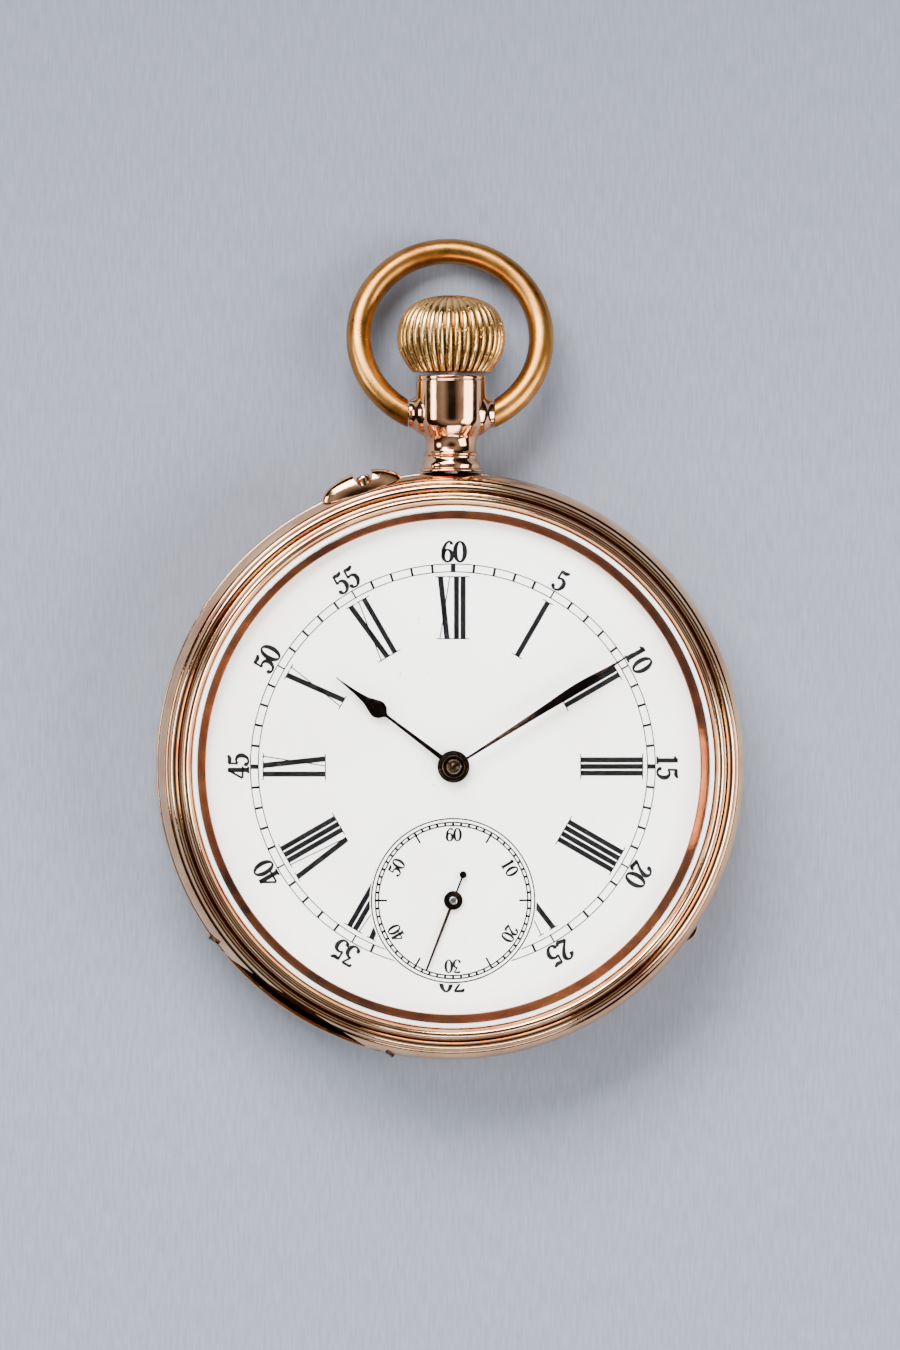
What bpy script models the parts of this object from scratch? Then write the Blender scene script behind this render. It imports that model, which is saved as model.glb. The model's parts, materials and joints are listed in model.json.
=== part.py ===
"""Open face pocket watch: pin-set, keyless, lying on its back with the dial facing +Z and 12 o'clock at +Y.

The origin is the centre of the flat rest face of the back cover. Lengths below are in millimetres.
"""
import math

import bmesh
import bpy
from mathutils import Matrix, Vector

MM = 0.001

# ---------------------------------------------------------------- driving dimensions, in millimetres
CASE_R = 24.78             # outside of the case middle's band
COVER_R = 25.0             # outside of the back cover's rim
BEZEL_R = 23.93            # outside of the bezel
MOVEMENT_R = 21.2          # mainplate
CASE_BORE_R = 21.45        # bore that holds the movement and the dial
DIAL_R = 21.3
CRYSTAL_R = 21.95
CASE_SEGMENTS = 40

STEM_Z = 5.3               # height of the stem, pendant, crown and bow pivot
PENDANT_TOP = 33.0
BOW_PIVOT_Y = 29.83
BOW_RING_R = 7.78          # centreline of the bow's wire
BOW_WIRE_R = 1.1
BOW_CENTRE = 6.81          # pivot to ring centre
BOW_PEG_R = 0.37
BOW_TILT = math.radians(16.5)
BOSS_X = 3.6               # the pendant's side bosses end here

HINGE_CLOCK = 213.0        # degrees clockwise from 12, where the back opens
HINGE_SPIN = math.radians(180.0 - HINGE_CLOCK)
BACK_AXIS = (23.25, 4.95)  # distance from the centre and height of the back cover's hinge
CUVETTE_AXIS = (22.2, 2.75)
BACK_KNUCKLE_R = 0.5
CUVETTE_KNUCKLE_R = 0.4
BACK_PIN_R = 0.21
CUVETTE_PIN_R = 0.15
LENS_CUT = 23.75           # chord that the band is cut to over the hinge

PUSH_CLOCK = -17.2
PUSH_Z = 7.45

PLATE_BACK = 4.6           # back of the mainplate's raised rim
PLATE_FLOOR = 5.4          # floor of the mainplate's recess, where the bridges stand
PLATE_FRONT = 7.2
BRIDGE_BACK = 1.95
BRIDGE_FRONT = 3.2
DIAL_BACK = 8.2
DIAL_FRONT = 8.75

CENTRE = (0.0, 0.0)
BARREL = (4.9, 7.0)
THIRD = (3.41, -6.34)
FOURTH = (0.0, -11.22)
ESCAPE = (-4.75, -8.92)
PALLET = (-8.49, -7.11)
BALANCE = (-12.63, -5.1)
CROWN_WHEEL = (0.0, 14.55)
MINUTE_WHEEL = (0.0, 3.36)
SETTING_WHEEL = (0.0, 9.912)
YOKE_PIVOT = (-9.5, 16.5)
CLICK_PIVOT = (11.2, 10.2)
LEVER_ANGLE = math.atan2(BALANCE[1] - PALLET[1], BALANCE[0] - PALLET[0])

HOUR_ANGLE = 307.2         # hands, degrees clockwise from 12
MINUTE_ANGLE = 57.6
SECONDS_ANGLE = 201.1


# ---------------------------------------------------------------- clearing and materials
for old in list(bpy.data.objects):
    bpy.data.objects.remove(old, do_unlink=True)


def material(name, colour, metallic, roughness, alpha=1.0):
    made = bpy.data.materials.new(name)
    made.use_nodes = True
    shader = made.node_tree.nodes["Principled BSDF"]
    shader.inputs["Base Color"].default_value = (*colour, 1.0)
    shader.inputs["Metallic"].default_value = metallic
    shader.inputs["Roughness"].default_value = roughness
    shader.inputs["Alpha"].default_value = alpha
    made.diffuse_color = (*colour, alpha)
    return made


ROSE_GOLD = material("rose_gold", (0.80, 0.52, 0.36), 1.0, 0.15)
WORN_GOLD = material("worn_gold", (0.78, 0.56, 0.26), 1.0, 0.28)
BOW_GOLD = material("bow_gold", (0.62, 0.43, 0.24), 1.0, 0.3)
ENAMEL = material("enamel", (0.90, 0.90, 0.88), 0.0, 0.15)
CRYSTAL_GLASS = material("crystal_glass", (0.95, 0.97, 0.98), 0.0, 0.02, 0.3)
NICKEL = material("nickel_plate", (0.66, 0.64, 0.60), 1.0, 0.3)
BRASS = material("gilt_brass", (0.75, 0.55, 0.25), 1.0, 0.3)
STEEL = material("steel", (0.60, 0.60, 0.62), 1.0, 0.25)
BLUED = material("blued_steel", (0.03, 0.04, 0.12), 1.0, 0.3)
HAND_STEEL = material("hand_steel", (0.06, 0.045, 0.04), 1.0, 0.35)


# ---------------------------------------------------------------- outlines, each a list of (x, y)
def circle(centre, radius, count):
    turn = 2.0 * math.pi / count
    return [(centre[0] + radius * math.cos(i * turn), centre[1] + radius * math.sin(i * turn)) for i in range(count)]


def arc(centre, radius, start, end, count):
    step = (end - start) / (count - 1)
    angles = [math.radians(start + i * step) for i in range(count)]
    return [(centre[0] + radius * math.cos(a), centre[1] + radius * math.sin(a)) for a in angles]


def box_outline(x0, y0, x1, y1):
    return [(x0, y0), (x1, y0), (x1, y1), (x0, y1)]


def toothed(teeth, pitch_radius, phase=0.0):
    """A gear's pointed teeth, cut a little deep for backlash. Phase 0 puts a tip on +X, 0.5 a gap."""
    module = 2.0 * pitch_radius / teeth
    tip = pitch_radius + 0.85 * module
    root = pitch_radius - 1.15 * module
    points = []
    for i in range(teeth):
        for offset, radius in ((phase, tip), (phase + 0.5, root)):
            angle = (i + offset) * 2.0 * math.pi / teeth
            points.append((radius * math.cos(angle), radius * math.sin(angle)))
    return points


def windows(inner, outer, spokes, half_spoke):
    """The openings between the spokes of a wheel."""
    sector = 360.0 / spokes
    made = []
    for i in range(spokes):
        start, end = i * sector + half_spoke, (i + 1) * sector - half_spoke
        made.append(arc((0, 0), outer, start, end, 5) + arc((0, 0), inner, end - 8.0, start + 8.0, 2))
    return made


def hand(centre_line):
    """A hand's outline from stations (distance, half width) along +Y, the two sides mirrored."""
    right = [(half, along) for along, half in centre_line]
    left = [(-half, along) for along, half in reversed(centre_line) if half > 0.0]
    return right + left


def turned_points(points, angle):
    c, s = math.cos(angle), math.sin(angle)
    return [(x * c - y * s, x * s + y * c) for x, y in points]


# ---------------------------------------------------------------- solids
def finish(name, bm, surface, at=(0.0, 0.0, 0.0), spin=0.0, smooth=True):
    """Turn a bmesh in millimetres into a named object with its origin at a place in millimetres."""
    bmesh.ops.recalc_face_normals(bm, faces=bm.faces)
    for vertex in bm.verts:
        vertex.co *= MM
    mesh = bpy.data.meshes.new(name)
    bm.to_mesh(mesh)
    bm.free()
    made = bpy.data.objects.new(name, mesh)
    bpy.context.scene.collection.objects.link(made)
    made.location = Vector(at) * MM
    made.rotation_euler = (0.0, 0.0, spin)
    if surface:
        mesh.materials.append(surface)
    if smooth:
        mesh.shade_smooth()
        mesh.set_sharp_from_angle(angle=math.radians(35.0))
    return made


def prism_mesh(loops, z0, z1):
    """An upright solid between two heights, from an outer outline and the holes inside it."""
    bm = bmesh.new()
    edges = []
    for loop in loops:
        ring = [bm.verts.new((x, y, z0)) for x, y in loop]
        edges += [bm.edges.new((ring[i - 1], ring[i])) for i in range(len(ring))]
    bmesh.ops.triangle_fill(bm, use_beauty=True, use_dissolve=False, edges=edges)
    grown = bmesh.ops.extrude_face_region(bm, geom=list(bm.faces))
    moved = [item for item in grown["geom"] if isinstance(item, bmesh.types.BMVert)]
    bmesh.ops.translate(bm, verts=moved, vec=(0.0, 0.0, z1 - z0))
    return bm


def prism(name, loops, z0, z1, surface, at=(0.0, 0.0), spin=0.0):
    return finish(name, prism_mesh(loops, z0, z1), surface, (at[0], at[1], 0.0), spin)


def lathe_mesh(rings):
    """A round solid about Z. Each ring is (z, radii); one radius is a pole on the axis."""
    bm = bmesh.new()
    made = []
    for z, radii in rings:
        if len(radii) == 1:
            made.append([bm.verts.new((0.0, 0.0, z))])
            continue
        turn = 2.0 * math.pi / len(radii)
        made.append([bm.verts.new((r * math.cos(i * turn), r * math.sin(i * turn), z)) for i, r in enumerate(radii)])
    for low, high in zip(made, made[1:] + made[:1]):
        count = max(len(low), len(high))
        if count == 1:
            continue
        for i in range(count):
            j = (i + 1) % count
            corners = [low[i % len(low)], low[j % len(low)], high[j % len(high)], high[i % len(high)]]
            bm.faces.new(list(dict.fromkeys(corners)))
    return bm


def turned_mesh(profile, segments):
    """A profile of (radius, z), closed on itself or starting and ending on the axis."""
    return lathe_mesh([(z, [0.0] if r == 0.0 else [r] * segments) for r, z in profile])


def turned(name, profile, surface, segments=CASE_SEGMENTS, at=(0.0, 0.0, 0.0), spin=0.0):
    return finish(name, turned_mesh(profile, segments), surface, at, spin)


ALONG_Y = Matrix.Rotation(math.radians(-90.0), 4, "X")
ALONG_X = Matrix.Rotation(math.radians(90.0), 4, "Y")


def lay(bm, turn, at=(0.0, 0.0, 0.0)):
    """Turn a bmesh from Z to another axis and move it."""
    bmesh.ops.transform(bm, matrix=Matrix.Translation(Vector(at)) @ turn, verts=bm.verts)
    return bm


OFF_GRID = Matrix.Rotation(0.13, 4, "Z")   # keeps a bar's edges off the planes that a Boolean joins it to


def rod_mesh(radius, start, end, turn, at, segments=16):
    """A plain round bar along a turned Z axis, from start to end."""
    bar = turned_mesh([(0.0, start), (radius, start), (radius, end), (0.0, end)], segments)
    return lay(bar, turn @ OFF_GRID, at)


def block_mesh(x0, y0, z0, x1, y1, z1):
    return prism_mesh([box_outline(x0, y0, x1, y1)], z0, z1)


def cutter(name, meshes, spin=0.0):
    """Several bmeshes as one hidden object for a Boolean modifier."""
    joined = bmesh.new()
    for bm in meshes:
        bmesh.ops.recalc_face_normals(bm, faces=bm.faces)
        part = bpy.data.meshes.new(name)
        bm.to_mesh(part)
        bm.free()
        joined.from_mesh(part)
        bpy.data.meshes.remove(part)
    made = finish(name, joined, None, spin=spin, smooth=False)
    made.hide_render = True
    made.hide_set(True)
    made.display_type = "WIRE"
    return made


def combine(target, operation, tool):
    modifier = target.modifiers.new(tool.name, "BOOLEAN")
    modifier.operation = operation
    modifier.solver = "EXACT"
    modifier.object = tool
    return target


def add(target, meshes, spin=0.0):
    for i, bm in enumerate(meshes):
        combine(target, "UNION", cutter(f"{target.name}_add_{i}_{len(target.modifiers)}", [bm], spin))


def cut(target, meshes, spin=0.0):
    for i, bm in enumerate(meshes):
        combine(target, "DIFFERENCE", cutter(f"{target.name}_cut_{i}_{len(target.modifiers)}", [bm], spin))


def drill(target, holes, z0, z1):
    """Upright round holes, each (x, y, radius), cut through a plate."""
    cut(target, [prism_mesh([circle((x, y), r, 10)], z0, z1) for x, y, r in holes])


def arbor(name, sections, leaves, surface, at, spin=0.0):
    """An arbor with its pinion, about Z. Sections are (z0, z1, root, tip), with root = tip where it is plain."""
    rings = [(sections[0][0], [0.0])]
    for z0, z1, root, tip in sections:
        ring = [root if i % 2 else tip for i in range(2 * leaves)]
        rings += [(z0, ring), (z1, ring)]
    rings.append((sections[-1][1], [0.0]))
    return finish(name, lathe_mesh(rings), surface, (at[0], at[1], 0.0), spin)


# ---------------------------------------------------------------- case
def on_hinge(axis, start, end, radius, segments=14):
    """A knuckle, a pin or a pin's bore along the hinge chord, laid out at 6 o'clock."""
    return rod_mesh(radius, start, end, ALONG_X, (0.0, -axis[0], axis[1]), segments)


def hollow_knuckle(axis, half_length, outer, bore):
    profile = [(bore, -half_length), (outer, -half_length), (outer, half_length), (bore, half_length)]
    return lay(turned_mesh(profile, 14), ALONG_X @ OFF_GRID, (0.0, -axis[0], axis[1]))


def make_case_middle():
    profile = [
        (CASE_BORE_R, 3.3), (22.75, 3.3), (24.25, 3.95), (24.3, 4.62), (24.62, 4.75), (CASE_R, 6.2),
        (24.72, 7.6), (24.15, 8.6), (22.3, 8.6), (22.3, 9.3), (CASE_BORE_R, 9.3),
    ]
    middle = turned("case_middle", profile, ROSE_GOLD)
    channel = block_mesh(-9.65, -26.0, 3.0, 9.65, -22.62, 6.8)
    over_hinge = block_mesh(-7.6, -26.0, 6.0, 7.6, -LENS_CUT, 9.5)
    ends = [block_mesh(x0, -26.0, 6.0, x0 + 1.3, -22.95, 9.5) for x0 in (-9.65, 8.35)]
    cut(middle, [channel, over_hinge] + ends, HINGE_SPIN)
    add(middle, [
        block_mesh(-3.0, -22.93, 4.7, 3.0, -22.4, 5.3),
        block_mesh(-2.8, -22.45, 3.02, 2.8, -22.05, 3.5),
        hollow_knuckle(BACK_AXIS, 3.15, BACK_KNUCKLE_R, BACK_PIN_R + 0.05),
        hollow_knuckle(CUVETTE_AXIS, 2.95, CUVETTE_KNUCKLE_R, CUVETTE_PIN_R + 0.05),
    ], HINGE_SPIN)
    push = math.radians(-PUSH_CLOCK)
    towards_push = Matrix.Rotation(push, 4, "Z") @ ALONG_Y
    cut(middle, [
        rod_mesh(0.72, 20.0, 26.0, ALONG_Y, (0.0, 0.0, STEM_Z), 16),
        rod_mesh(0.28, 20.0, 26.0, towards_push, (0.0, 0.0, PUSH_Z), 12),
        rod_mesh(0.62, 23.3, 26.0, towards_push, (0.0, 0.0, PUSH_Z), 12),
    ])


def make_back_cover():
    profile = [
        (0.0, 0.0), (16.0, 0.0), (20.5, 0.42), (23.1, 1.5), (24.6, 2.85), (COVER_R, 3.9),
        (24.8, 4.46), (24.58, 4.3), (24.3, 3.2), (22.8, 1.95), (20.4, 0.88), (16.0, 0.42), (0.0, 0.42),
    ]
    cover = turned("back_cover", profile, ROSE_GOLD)
    # Each end of the hinge is a tube carried by a web that grows out of the rim.
    for side in (-1.0, 1.0):
        web = [(3.4, -23.1), (8.2, -22.9), (8.2, -23.5), (5.9, -24.2), (3.4, -24.6)]
        start, end = sorted((3.3 * side, 9.4 * side))
        add(cover, [
            prism_mesh([[(x * side, y) for x, y in web]], 3.9, 4.75),
            on_hinge(BACK_AXIS, start, end, BACK_KNUCKLE_R),
        ], HINGE_SPIN)
    cut(cover, [on_hinge(BACK_AXIS, -9.8, 9.8, BACK_PIN_R + 0.05, 12)], HINGE_SPIN)
    # The thumb lip that a nail lifts the cover by.
    lip = math.radians(90.0 - 124.7)
    outline = turned_points([(24.75, -1.4), (25.3, -0.7), (25.3, 0.7), (24.75, 1.4)], lip)
    add(cover, [prism_mesh([outline], 3.75, 4.15)])


def make_cuvette():
    profile = [
        (0.0, 1.15), (19.2, 1.15), (21.3, 1.8), (21.75, 2.8), (22.3, 2.9), (22.3, 3.15),
        (21.5, 3.15), (21.1, 2.1), (19.1, 1.45), (0.0, 1.45),
    ]
    lid = turned("cuvette", profile, ROSE_GOLD)
    cut(lid, [block_mesh(-3.1, -23.0, 2.0, 3.1, -21.7, 3.5)], HINGE_SPIN)
    for side in (-1.0, 1.0):
        start, end = sorted((3.2 * side, 4.9 * side))
        add(lid, [
            block_mesh(start + 0.05, -22.15, 2.58, end - 0.05, -20.95, 2.98),
            on_hinge(CUVETTE_AXIS, start, end, CUVETTE_KNUCKLE_R),
        ], HINGE_SPIN)
    cut(lid, [on_hinge(CUVETTE_AXIS, -5.3, 5.3, CUVETTE_PIN_R + 0.05, 12)], HINGE_SPIN)


def make_hinge_pins():
    finish("back_hinge_pin", on_hinge(BACK_AXIS, -9.3, 9.3, BACK_PIN_R, 12), STEEL, spin=HINGE_SPIN)
    finish("cuvette_hinge_pin", on_hinge(CUVETTE_AXIS, -4.8, 4.8, CUVETTE_PIN_R, 12), STEEL, spin=HINGE_SPIN)


def make_bezel_and_crystal():
    profile = [
        (20.73, 8.86), (21.35, 8.86), (21.35, 9.4), (22.38, 9.4), (22.38, 8.7), (23.7, 8.7),
        (BEZEL_R, 9.0), (23.8, 9.55), (23.4, 9.78), (22.97, 9.55), (22.85, 10.45), (22.44, 10.85),
        (22.04, 10.6), (22.04, 10.2), (21.57, 10.2),
    ]
    bezel = turned("bezel", profile, ROSE_GOLD)
    cut(bezel, [block_mesh(-5.0, -25.0, 8.0, 5.0, -23.75, 11.5)], HINGE_SPIN)
    glass = [
        (0.0, 11.1), (10.0, 10.95), (17.5, 10.55), (CRYSTAL_R, 10.25), (CRYSTAL_R, 10.58),
        (21.5, 10.85), (17.5, 11.5), (10.0, 11.95), (0.0, 12.12),
    ]
    turned("crystal", glass, CRYSTAL_GLASS)


def make_pendant():
    profile = [
        (0.8, 24.2), (2.75, 24.2), (2.75, 25.0), (2.5, 25.3), (2.5, 25.8), (2.2, 26.1), (2.38, 26.36),
        (2.1, 26.7), (2.1, 27.7), (3.03, 28.25), (3.03, PENDANT_TOP), (0.8, PENDANT_TOP),
    ]
    pendant = finish("pendant", lay(turned_mesh(profile, 24), ALONG_Y), ROSE_GOLD, (0.0, 0.0, STEM_Z))
    case = cutter("pendant_seat", [turned_mesh([(0.0, -1.0), (25.08, -1.0), (25.08, 12.0), (0.0, 12.0)], 80)])
    combine(pendant, "DIFFERENCE", case)
    pivot = (0.0, BOW_PIVOT_Y, 0.0)
    for side in (-1.0, 1.0):
        start, end = sorted((2.4 * side, BOSS_X * side))
        boss = cutter(f"pendant_boss_{side:.0f}", [rod_mesh(1.1, start, end, ALONG_X, pivot, 16)])
        boss.location.z = STEM_Z * MM
        combine(pendant, "UNION", boss)
    for side in (-1.0, 1.0):
        start, end = sorted((1.9 * side, 4.0 * side))
        bore = cutter(f"pendant_bore_{side:.0f}", [rod_mesh(BOW_PEG_R + 0.06, start, end, ALONG_X, pivot, 12)])
        bore.location.z = STEM_Z * MM
        combine(pendant, "DIFFERENCE", bore)


def make_bow():
    """A ring of round wire, open at the pendant, laid back on its pegs so that its far end meets the table."""
    gap = math.asin((BOSS_X - 0.4) / BOW_RING_R)
    stations = 23
    around = 10
    bm = bmesh.new()
    rings = []
    for i in range(stations):
        angle = -math.pi / 2.0 + gap + i * (2.0 * math.pi - 2.0 * gap) / (stations - 1)
        out = Vector((math.cos(angle), math.sin(angle), 0.0))
        middle = out * BOW_RING_R + Vector((0.0, BOW_CENTRE, 0.0))
        ring = []
        for j in range(around):
            turn = 2.0 * math.pi * j / around
            ring.append(bm.verts.new(middle + BOW_WIRE_R * (math.cos(turn) * out + math.sin(turn) * Vector((0, 0, 1)))))
        rings.append(ring)
    for low, high in zip(rings, rings[1:]):
        for j in range(around):
            k = (j + 1) % around
            bm.faces.new((low[j], low[k], high[k], high[j]))
    bm.faces.new(rings[0])
    bm.faces.new(rings[-1])
    bmesh.ops.transform(bm, matrix=Matrix.Rotation(-BOW_TILT, 4, "X"), verts=bm.verts)
    bow = finish("bow", bm, BOW_GOLD, (0.0, BOW_PIVOT_Y, STEM_Z))
    trim = cutter("bow_trim", [block_mesh(-BOSS_X - 0.08, -3.0, -3.0, BOSS_X + 0.08, 3.0, 3.0)])
    trim.location = bow.location
    combine(bow, "DIFFERENCE", trim)
    # A peg at each end of the wire springs into the pendant's boss and is the pivot.
    for side in (-1.0, 1.0):
        start, end = sorted((2.3 * side, 4.4 * side))
        peg = cutter(f"bow_peg_{side:.0f}", [rod_mesh(BOW_PEG_R, start, end, ALONG_X, (0.0, 0.0, 0.0), 10)])
        peg.location = bow.location
        combine(bow, "UNION", peg)


def make_crown_and_stem():
    flutes = 36
    shape = [
        (33.28, 3.39, 0.25), (34.6, 4.3, 0.3), (36.03, 4.62, 0.3), (37.6, 4.25, 0.26), (39.0, 3.0, 0.12),
    ]
    rings = [(36.9, [0.0]), (36.9, [0.64] * 2 * flutes), (33.28, [0.64] * 2 * flutes)]
    for along, radius, groove in shape:
        rings.append((along, [radius - groove * (i % 2) for i in range(2 * flutes)]))
    rings.append((39.82, [0.0]))
    finish("crown", lay(lathe_mesh(rings), ALONG_Y), WORN_GOLD, (0.0, 0.0, STEM_Z))
    stem = [
        (0.0, 14.05), (0.3, 14.05), (0.3, 14.8), (0.5, 14.8), (0.5, 22.0), (0.6, 22.0), (0.6, 36.8), (0.0, 36.8),
    ]
    finish("winding_stem", lay(turned_mesh(stem, 12), ALONG_Y), STEEL, (0.0, 0.0, STEM_Z))
    leaves = 20
    pinion = [(17.55, [0.54] * 2 * leaves)]
    for along in (17.55, 18.85):
        pinion.append((along, [2.68 - 0.4 * (i % 2) for i in range(2 * leaves)]))
    pinion.append((18.85, [0.54] * 2 * leaves))
    finish("winding_pinion", lay(lathe_mesh(pinion), ALONG_Y), STEEL, (0.0, 0.0, STEM_Z))
    clutch = [
        (0.54, 15.9), (1.6, 15.9), (1.6, 16.15), (1.1, 16.15), (1.1, 16.65), (1.6, 16.65), (1.6, 17.4), (0.54, 17.4),
    ]
    finish("clutch", lay(turned_mesh(clutch, 16), ALONG_Y), STEEL, (0.0, 0.0, STEM_Z))


def make_push_piece():
    """The setting pin slides towards the centre, between two lobes that keep it from being pressed by chance."""
    spin = math.radians(-PUSH_CLOCK)
    profile = [
        (0.0, 20.3), (0.22, 20.3), (0.22, 24.0), (0.55, 24.0), (0.55, 25.45), (0.4, 25.65), (0.0, 25.72),
    ]
    pin = lay(turned_mesh(profile, 16), ALONG_Y)
    finish("push_piece", pin, ROSE_GOLD, (0.0, 0.0, PUSH_Z), spin)
    # Outline in degrees from the pin's own direction, and radius.
    outer = [(-6.9, 24.95), (-5.2, 25.45), (-3.4, 25.8), (-2.2, 25.7), (-1.6, 25.3), (-1.6, 25.0)]
    outer += [(-angle, radius) for angle, radius in reversed(outer)]
    inner = [(6.9, 24.85), (3.0, 24.85), (-3.0, 24.85), (-6.9, 24.85)]
    outline = []
    for angle, radius in outer + inner:
        a = math.radians(90.0) - math.radians(angle)
        outline.append((radius * math.cos(a), radius * math.sin(a)))
    guard = prism("push_piece_guard", [outline], 6.6, 8.3, ROSE_GOLD, spin=spin)
    cut(guard, [rod_mesh(0.62, 24.0, 26.5, ALONG_Y, (0.0, 0.0, PUSH_Z), 12)], spin)


# ---------------------------------------------------------------- frame of the movement
def make_mainplate():
    profile = [
        (0.0, PLATE_FLOOR), (19.4, PLATE_FLOOR), (19.4, PLATE_BACK), (MOVEMENT_R, PLATE_BACK),
        (MOVEMENT_R, PLATE_FRONT), (0.0, PLATE_FRONT),
    ]
    plate = turned("mainplate", profile, NICKEL)
    add(plate, [
        block_mesh(-1.0, 14.1, 4.65, 1.0, 14.62, 5.6),
        prism_mesh([circle(YOKE_PIVOT, 0.4, 12)], 7.0, 7.75),
        prism_mesh([circle(SETTING_WHEEL, 0.45, 12)], 7.0, 7.7),
        prism_mesh([circle(MINUTE_WHEEL, 0.25, 12)], 7.0, 8.1),
    ])
    cut(plate, [
        prism_mesh([circle(BARREL, 8.05, 32)], 5.0, 6.3),
        prism_mesh([circle(CENTRE, 1.55, 14)], 5.0, 6.4),
        block_mesh(-2.95, 17.3, 4.0, 2.95, 19.15, 8.0),
        block_mesh(-1.9, 14.72, 5.0, 1.9, 17.4, 7.0),
        block_mesh(-0.4, 14.8, 6.9, 0.4, 16.9, 7.5),
    ])
    cut(plate, [
        rod_mesh(0.37, 13.5, 15.0, ALONG_Y, (0.0, 0.0, STEM_Z), 12),
        rod_mesh(0.62, 18.6, 22.0, ALONG_Y, (0.0, 0.0, STEM_Z), 12),
    ])
    drill(plate, [
        (*CENTRE, 0.65), (*BARREL, 0.56), (*THIRD, 0.22), (*FOURTH, 0.28), (*ESCAPE, 0.22), (*PALLET, 0.22),
        (*BALANCE, 0.2), (*CASE_SCREW, 0.45),
    ], 3.0, 9.0)


CASE_SCREW = (20.2 * math.cos(math.radians(163.0)), 20.2 * math.sin(math.radians(163.0)))
BARREL_FEET = [(-6.2, 15.6), (13.2, 12.0), (15.6, 1.0), (4.7, 17.2)]
TRAIN_FEET = [(9.5, -12.5), (14.5, -6.0), (-0.9, -17.6)]


def make_barrel_bridge():
    outline = arc((0, 0), 19.0, -5.0, 118.0, 15) + [(-4.6, 9.0), (-2.6, 3.6), (1.8, 1.9), (9.5, -1.9)]
    bridge = prism("barrel_bridge", [outline], BRIDGE_BACK, BRIDGE_FRONT, NICKEL)
    add(bridge, [prism_mesh([circle(foot, 1.0, 12)], 3.0, 5.36) for foot in BARREL_FEET])
    click_pocket = [(8.4, 9.2), (11.5, 8.2), (15.3, 7.4), (15.7, 8.9), (12.3, 12.0), (9.2, 12.2), (8.2, 11.0)]
    cut(bridge, [
        prism_mesh([circle(BARREL, 5.4, 28)], 1.5, 2.66),
        prism_mesh([circle(CROWN_WHEEL, 4.45, 24)], 1.5, 2.66),
        prism_mesh([click_pocket], 1.5, 2.66),
        block_mesh(-2.1, 17.2, 1.5, 2.1, 20.0, 3.5),
    ])
    drill(bridge, [(*BARREL, 0.72), (*BARREL_FEET[0], 0.45)], 1.0, 6.0)


def make_train_bridge():
    outline = arc((0, 0), 19.0, -95.0, -12.0, 14) + [
        (9.6, -2.6), (2.2, 1.2), (-2.3, 2.9), (-3.3, 0.5), (-2.6, -3.2), (-4.2, -6.6), (-6.2, -8.0),
        (-6.3, -9.6), (-4.6, -11.0), (-3.0, -13.5),
    ]
    bridge = prism("train_bridge", [outline], BRIDGE_BACK, BRIDGE_FRONT, NICKEL)
    add(bridge, [prism_mesh([circle(foot, 1.0, 12)], 3.0, 5.36) for foot in TRAIN_FEET])
    drill(bridge, [
        (*CENTRE, 0.5), (*THIRD, 0.25), (*FOURTH, 0.25), (*ESCAPE, 0.22), (*TRAIN_FEET[0], 0.45),
    ], 1.0, 6.0)


def make_cocks():
    shape = [
        (-14.2, -12.2), (-11.2, -15.2), (-6.6, -17.6), (-5.7, -14.4), (-8.2, -12.4), (-9.6, -8.6), (-10.3, -6.4),
    ]
    shape += arc(BALANCE, 2.5, -10.0, 190.0, 9) + [(-15.0, -8.8)]
    cock = prism("balance_cock", [shape], BRIDGE_BACK, 2.9, NICKEL)
    foot = [(-12.6, -13.1), (-10.9, -15.1), (-6.7, -17.3), (-6.1, -14.7), (-9.0, -12.9)]
    add(cock, [prism_mesh([foot], 2.7, 5.36)])
    drill(cock, [(*BALANCE, 0.22), (-8.6, -14.8, 0.45)], 1.0, 6.0)

    bar = [(-0.75, -3.9), (0.75, -3.9), (0.75, 3.9), (-0.75, 3.9)]
    spin = LEVER_ANGLE
    bridge = prism("pallet_bridge", [turned_points(bar, spin)], 4.35, 4.72, NICKEL, PALLET)
    for side in (-1.0, 1.0):
        middle = turned_points([(0.0, 3.25 * side)], spin)[0]
        post = cutter(f"pallet_post_{side:.0f}", [prism_mesh([circle(middle, 0.6, 12)], 4.5, 5.36)])
        post.location = bridge.location
        combine(bridge, "UNION", post)
    hole = cutter("pallet_hole", [prism_mesh([circle((0, 0), 0.2, 12)], 4.0, 5.0)])
    hole.location = bridge.location
    combine(bridge, "DIFFERENCE", hole)


def make_screws():
    places = {
        "case_screw": (*CASE_SCREW, 4.2, PLATE_BACK, 0.9, 6.8),
        "barrel_bridge_screw": (*BARREL_FEET[0], 1.6, BRIDGE_BACK, 0.85, 5.2),
        "train_bridge_screw": (*TRAIN_FEET[0], 1.6, BRIDGE_BACK, 0.85, 5.2),
        "balance_cock_screw": (-8.6, -14.8, 1.6, BRIDGE_BACK, 0.85, 5.2),
    }
    for name, (x, y, top, under, head, end) in places.items():
        profile = [(0.0, top), (head, top), (head, under - 0.03), (0.4, under - 0.03), (0.4, end), (0.0, end)]
        screw = turned(name, profile, STEEL, 14, (x, y, 0.0))
        slot = cutter(f"{name}_slot", [block_mesh(-1.2, -0.11, top - 0.3, 1.2, 0.11, top + 0.13)])
        slot.location = screw.location
        combine(screw, "DIFFERENCE", slot)


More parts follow.
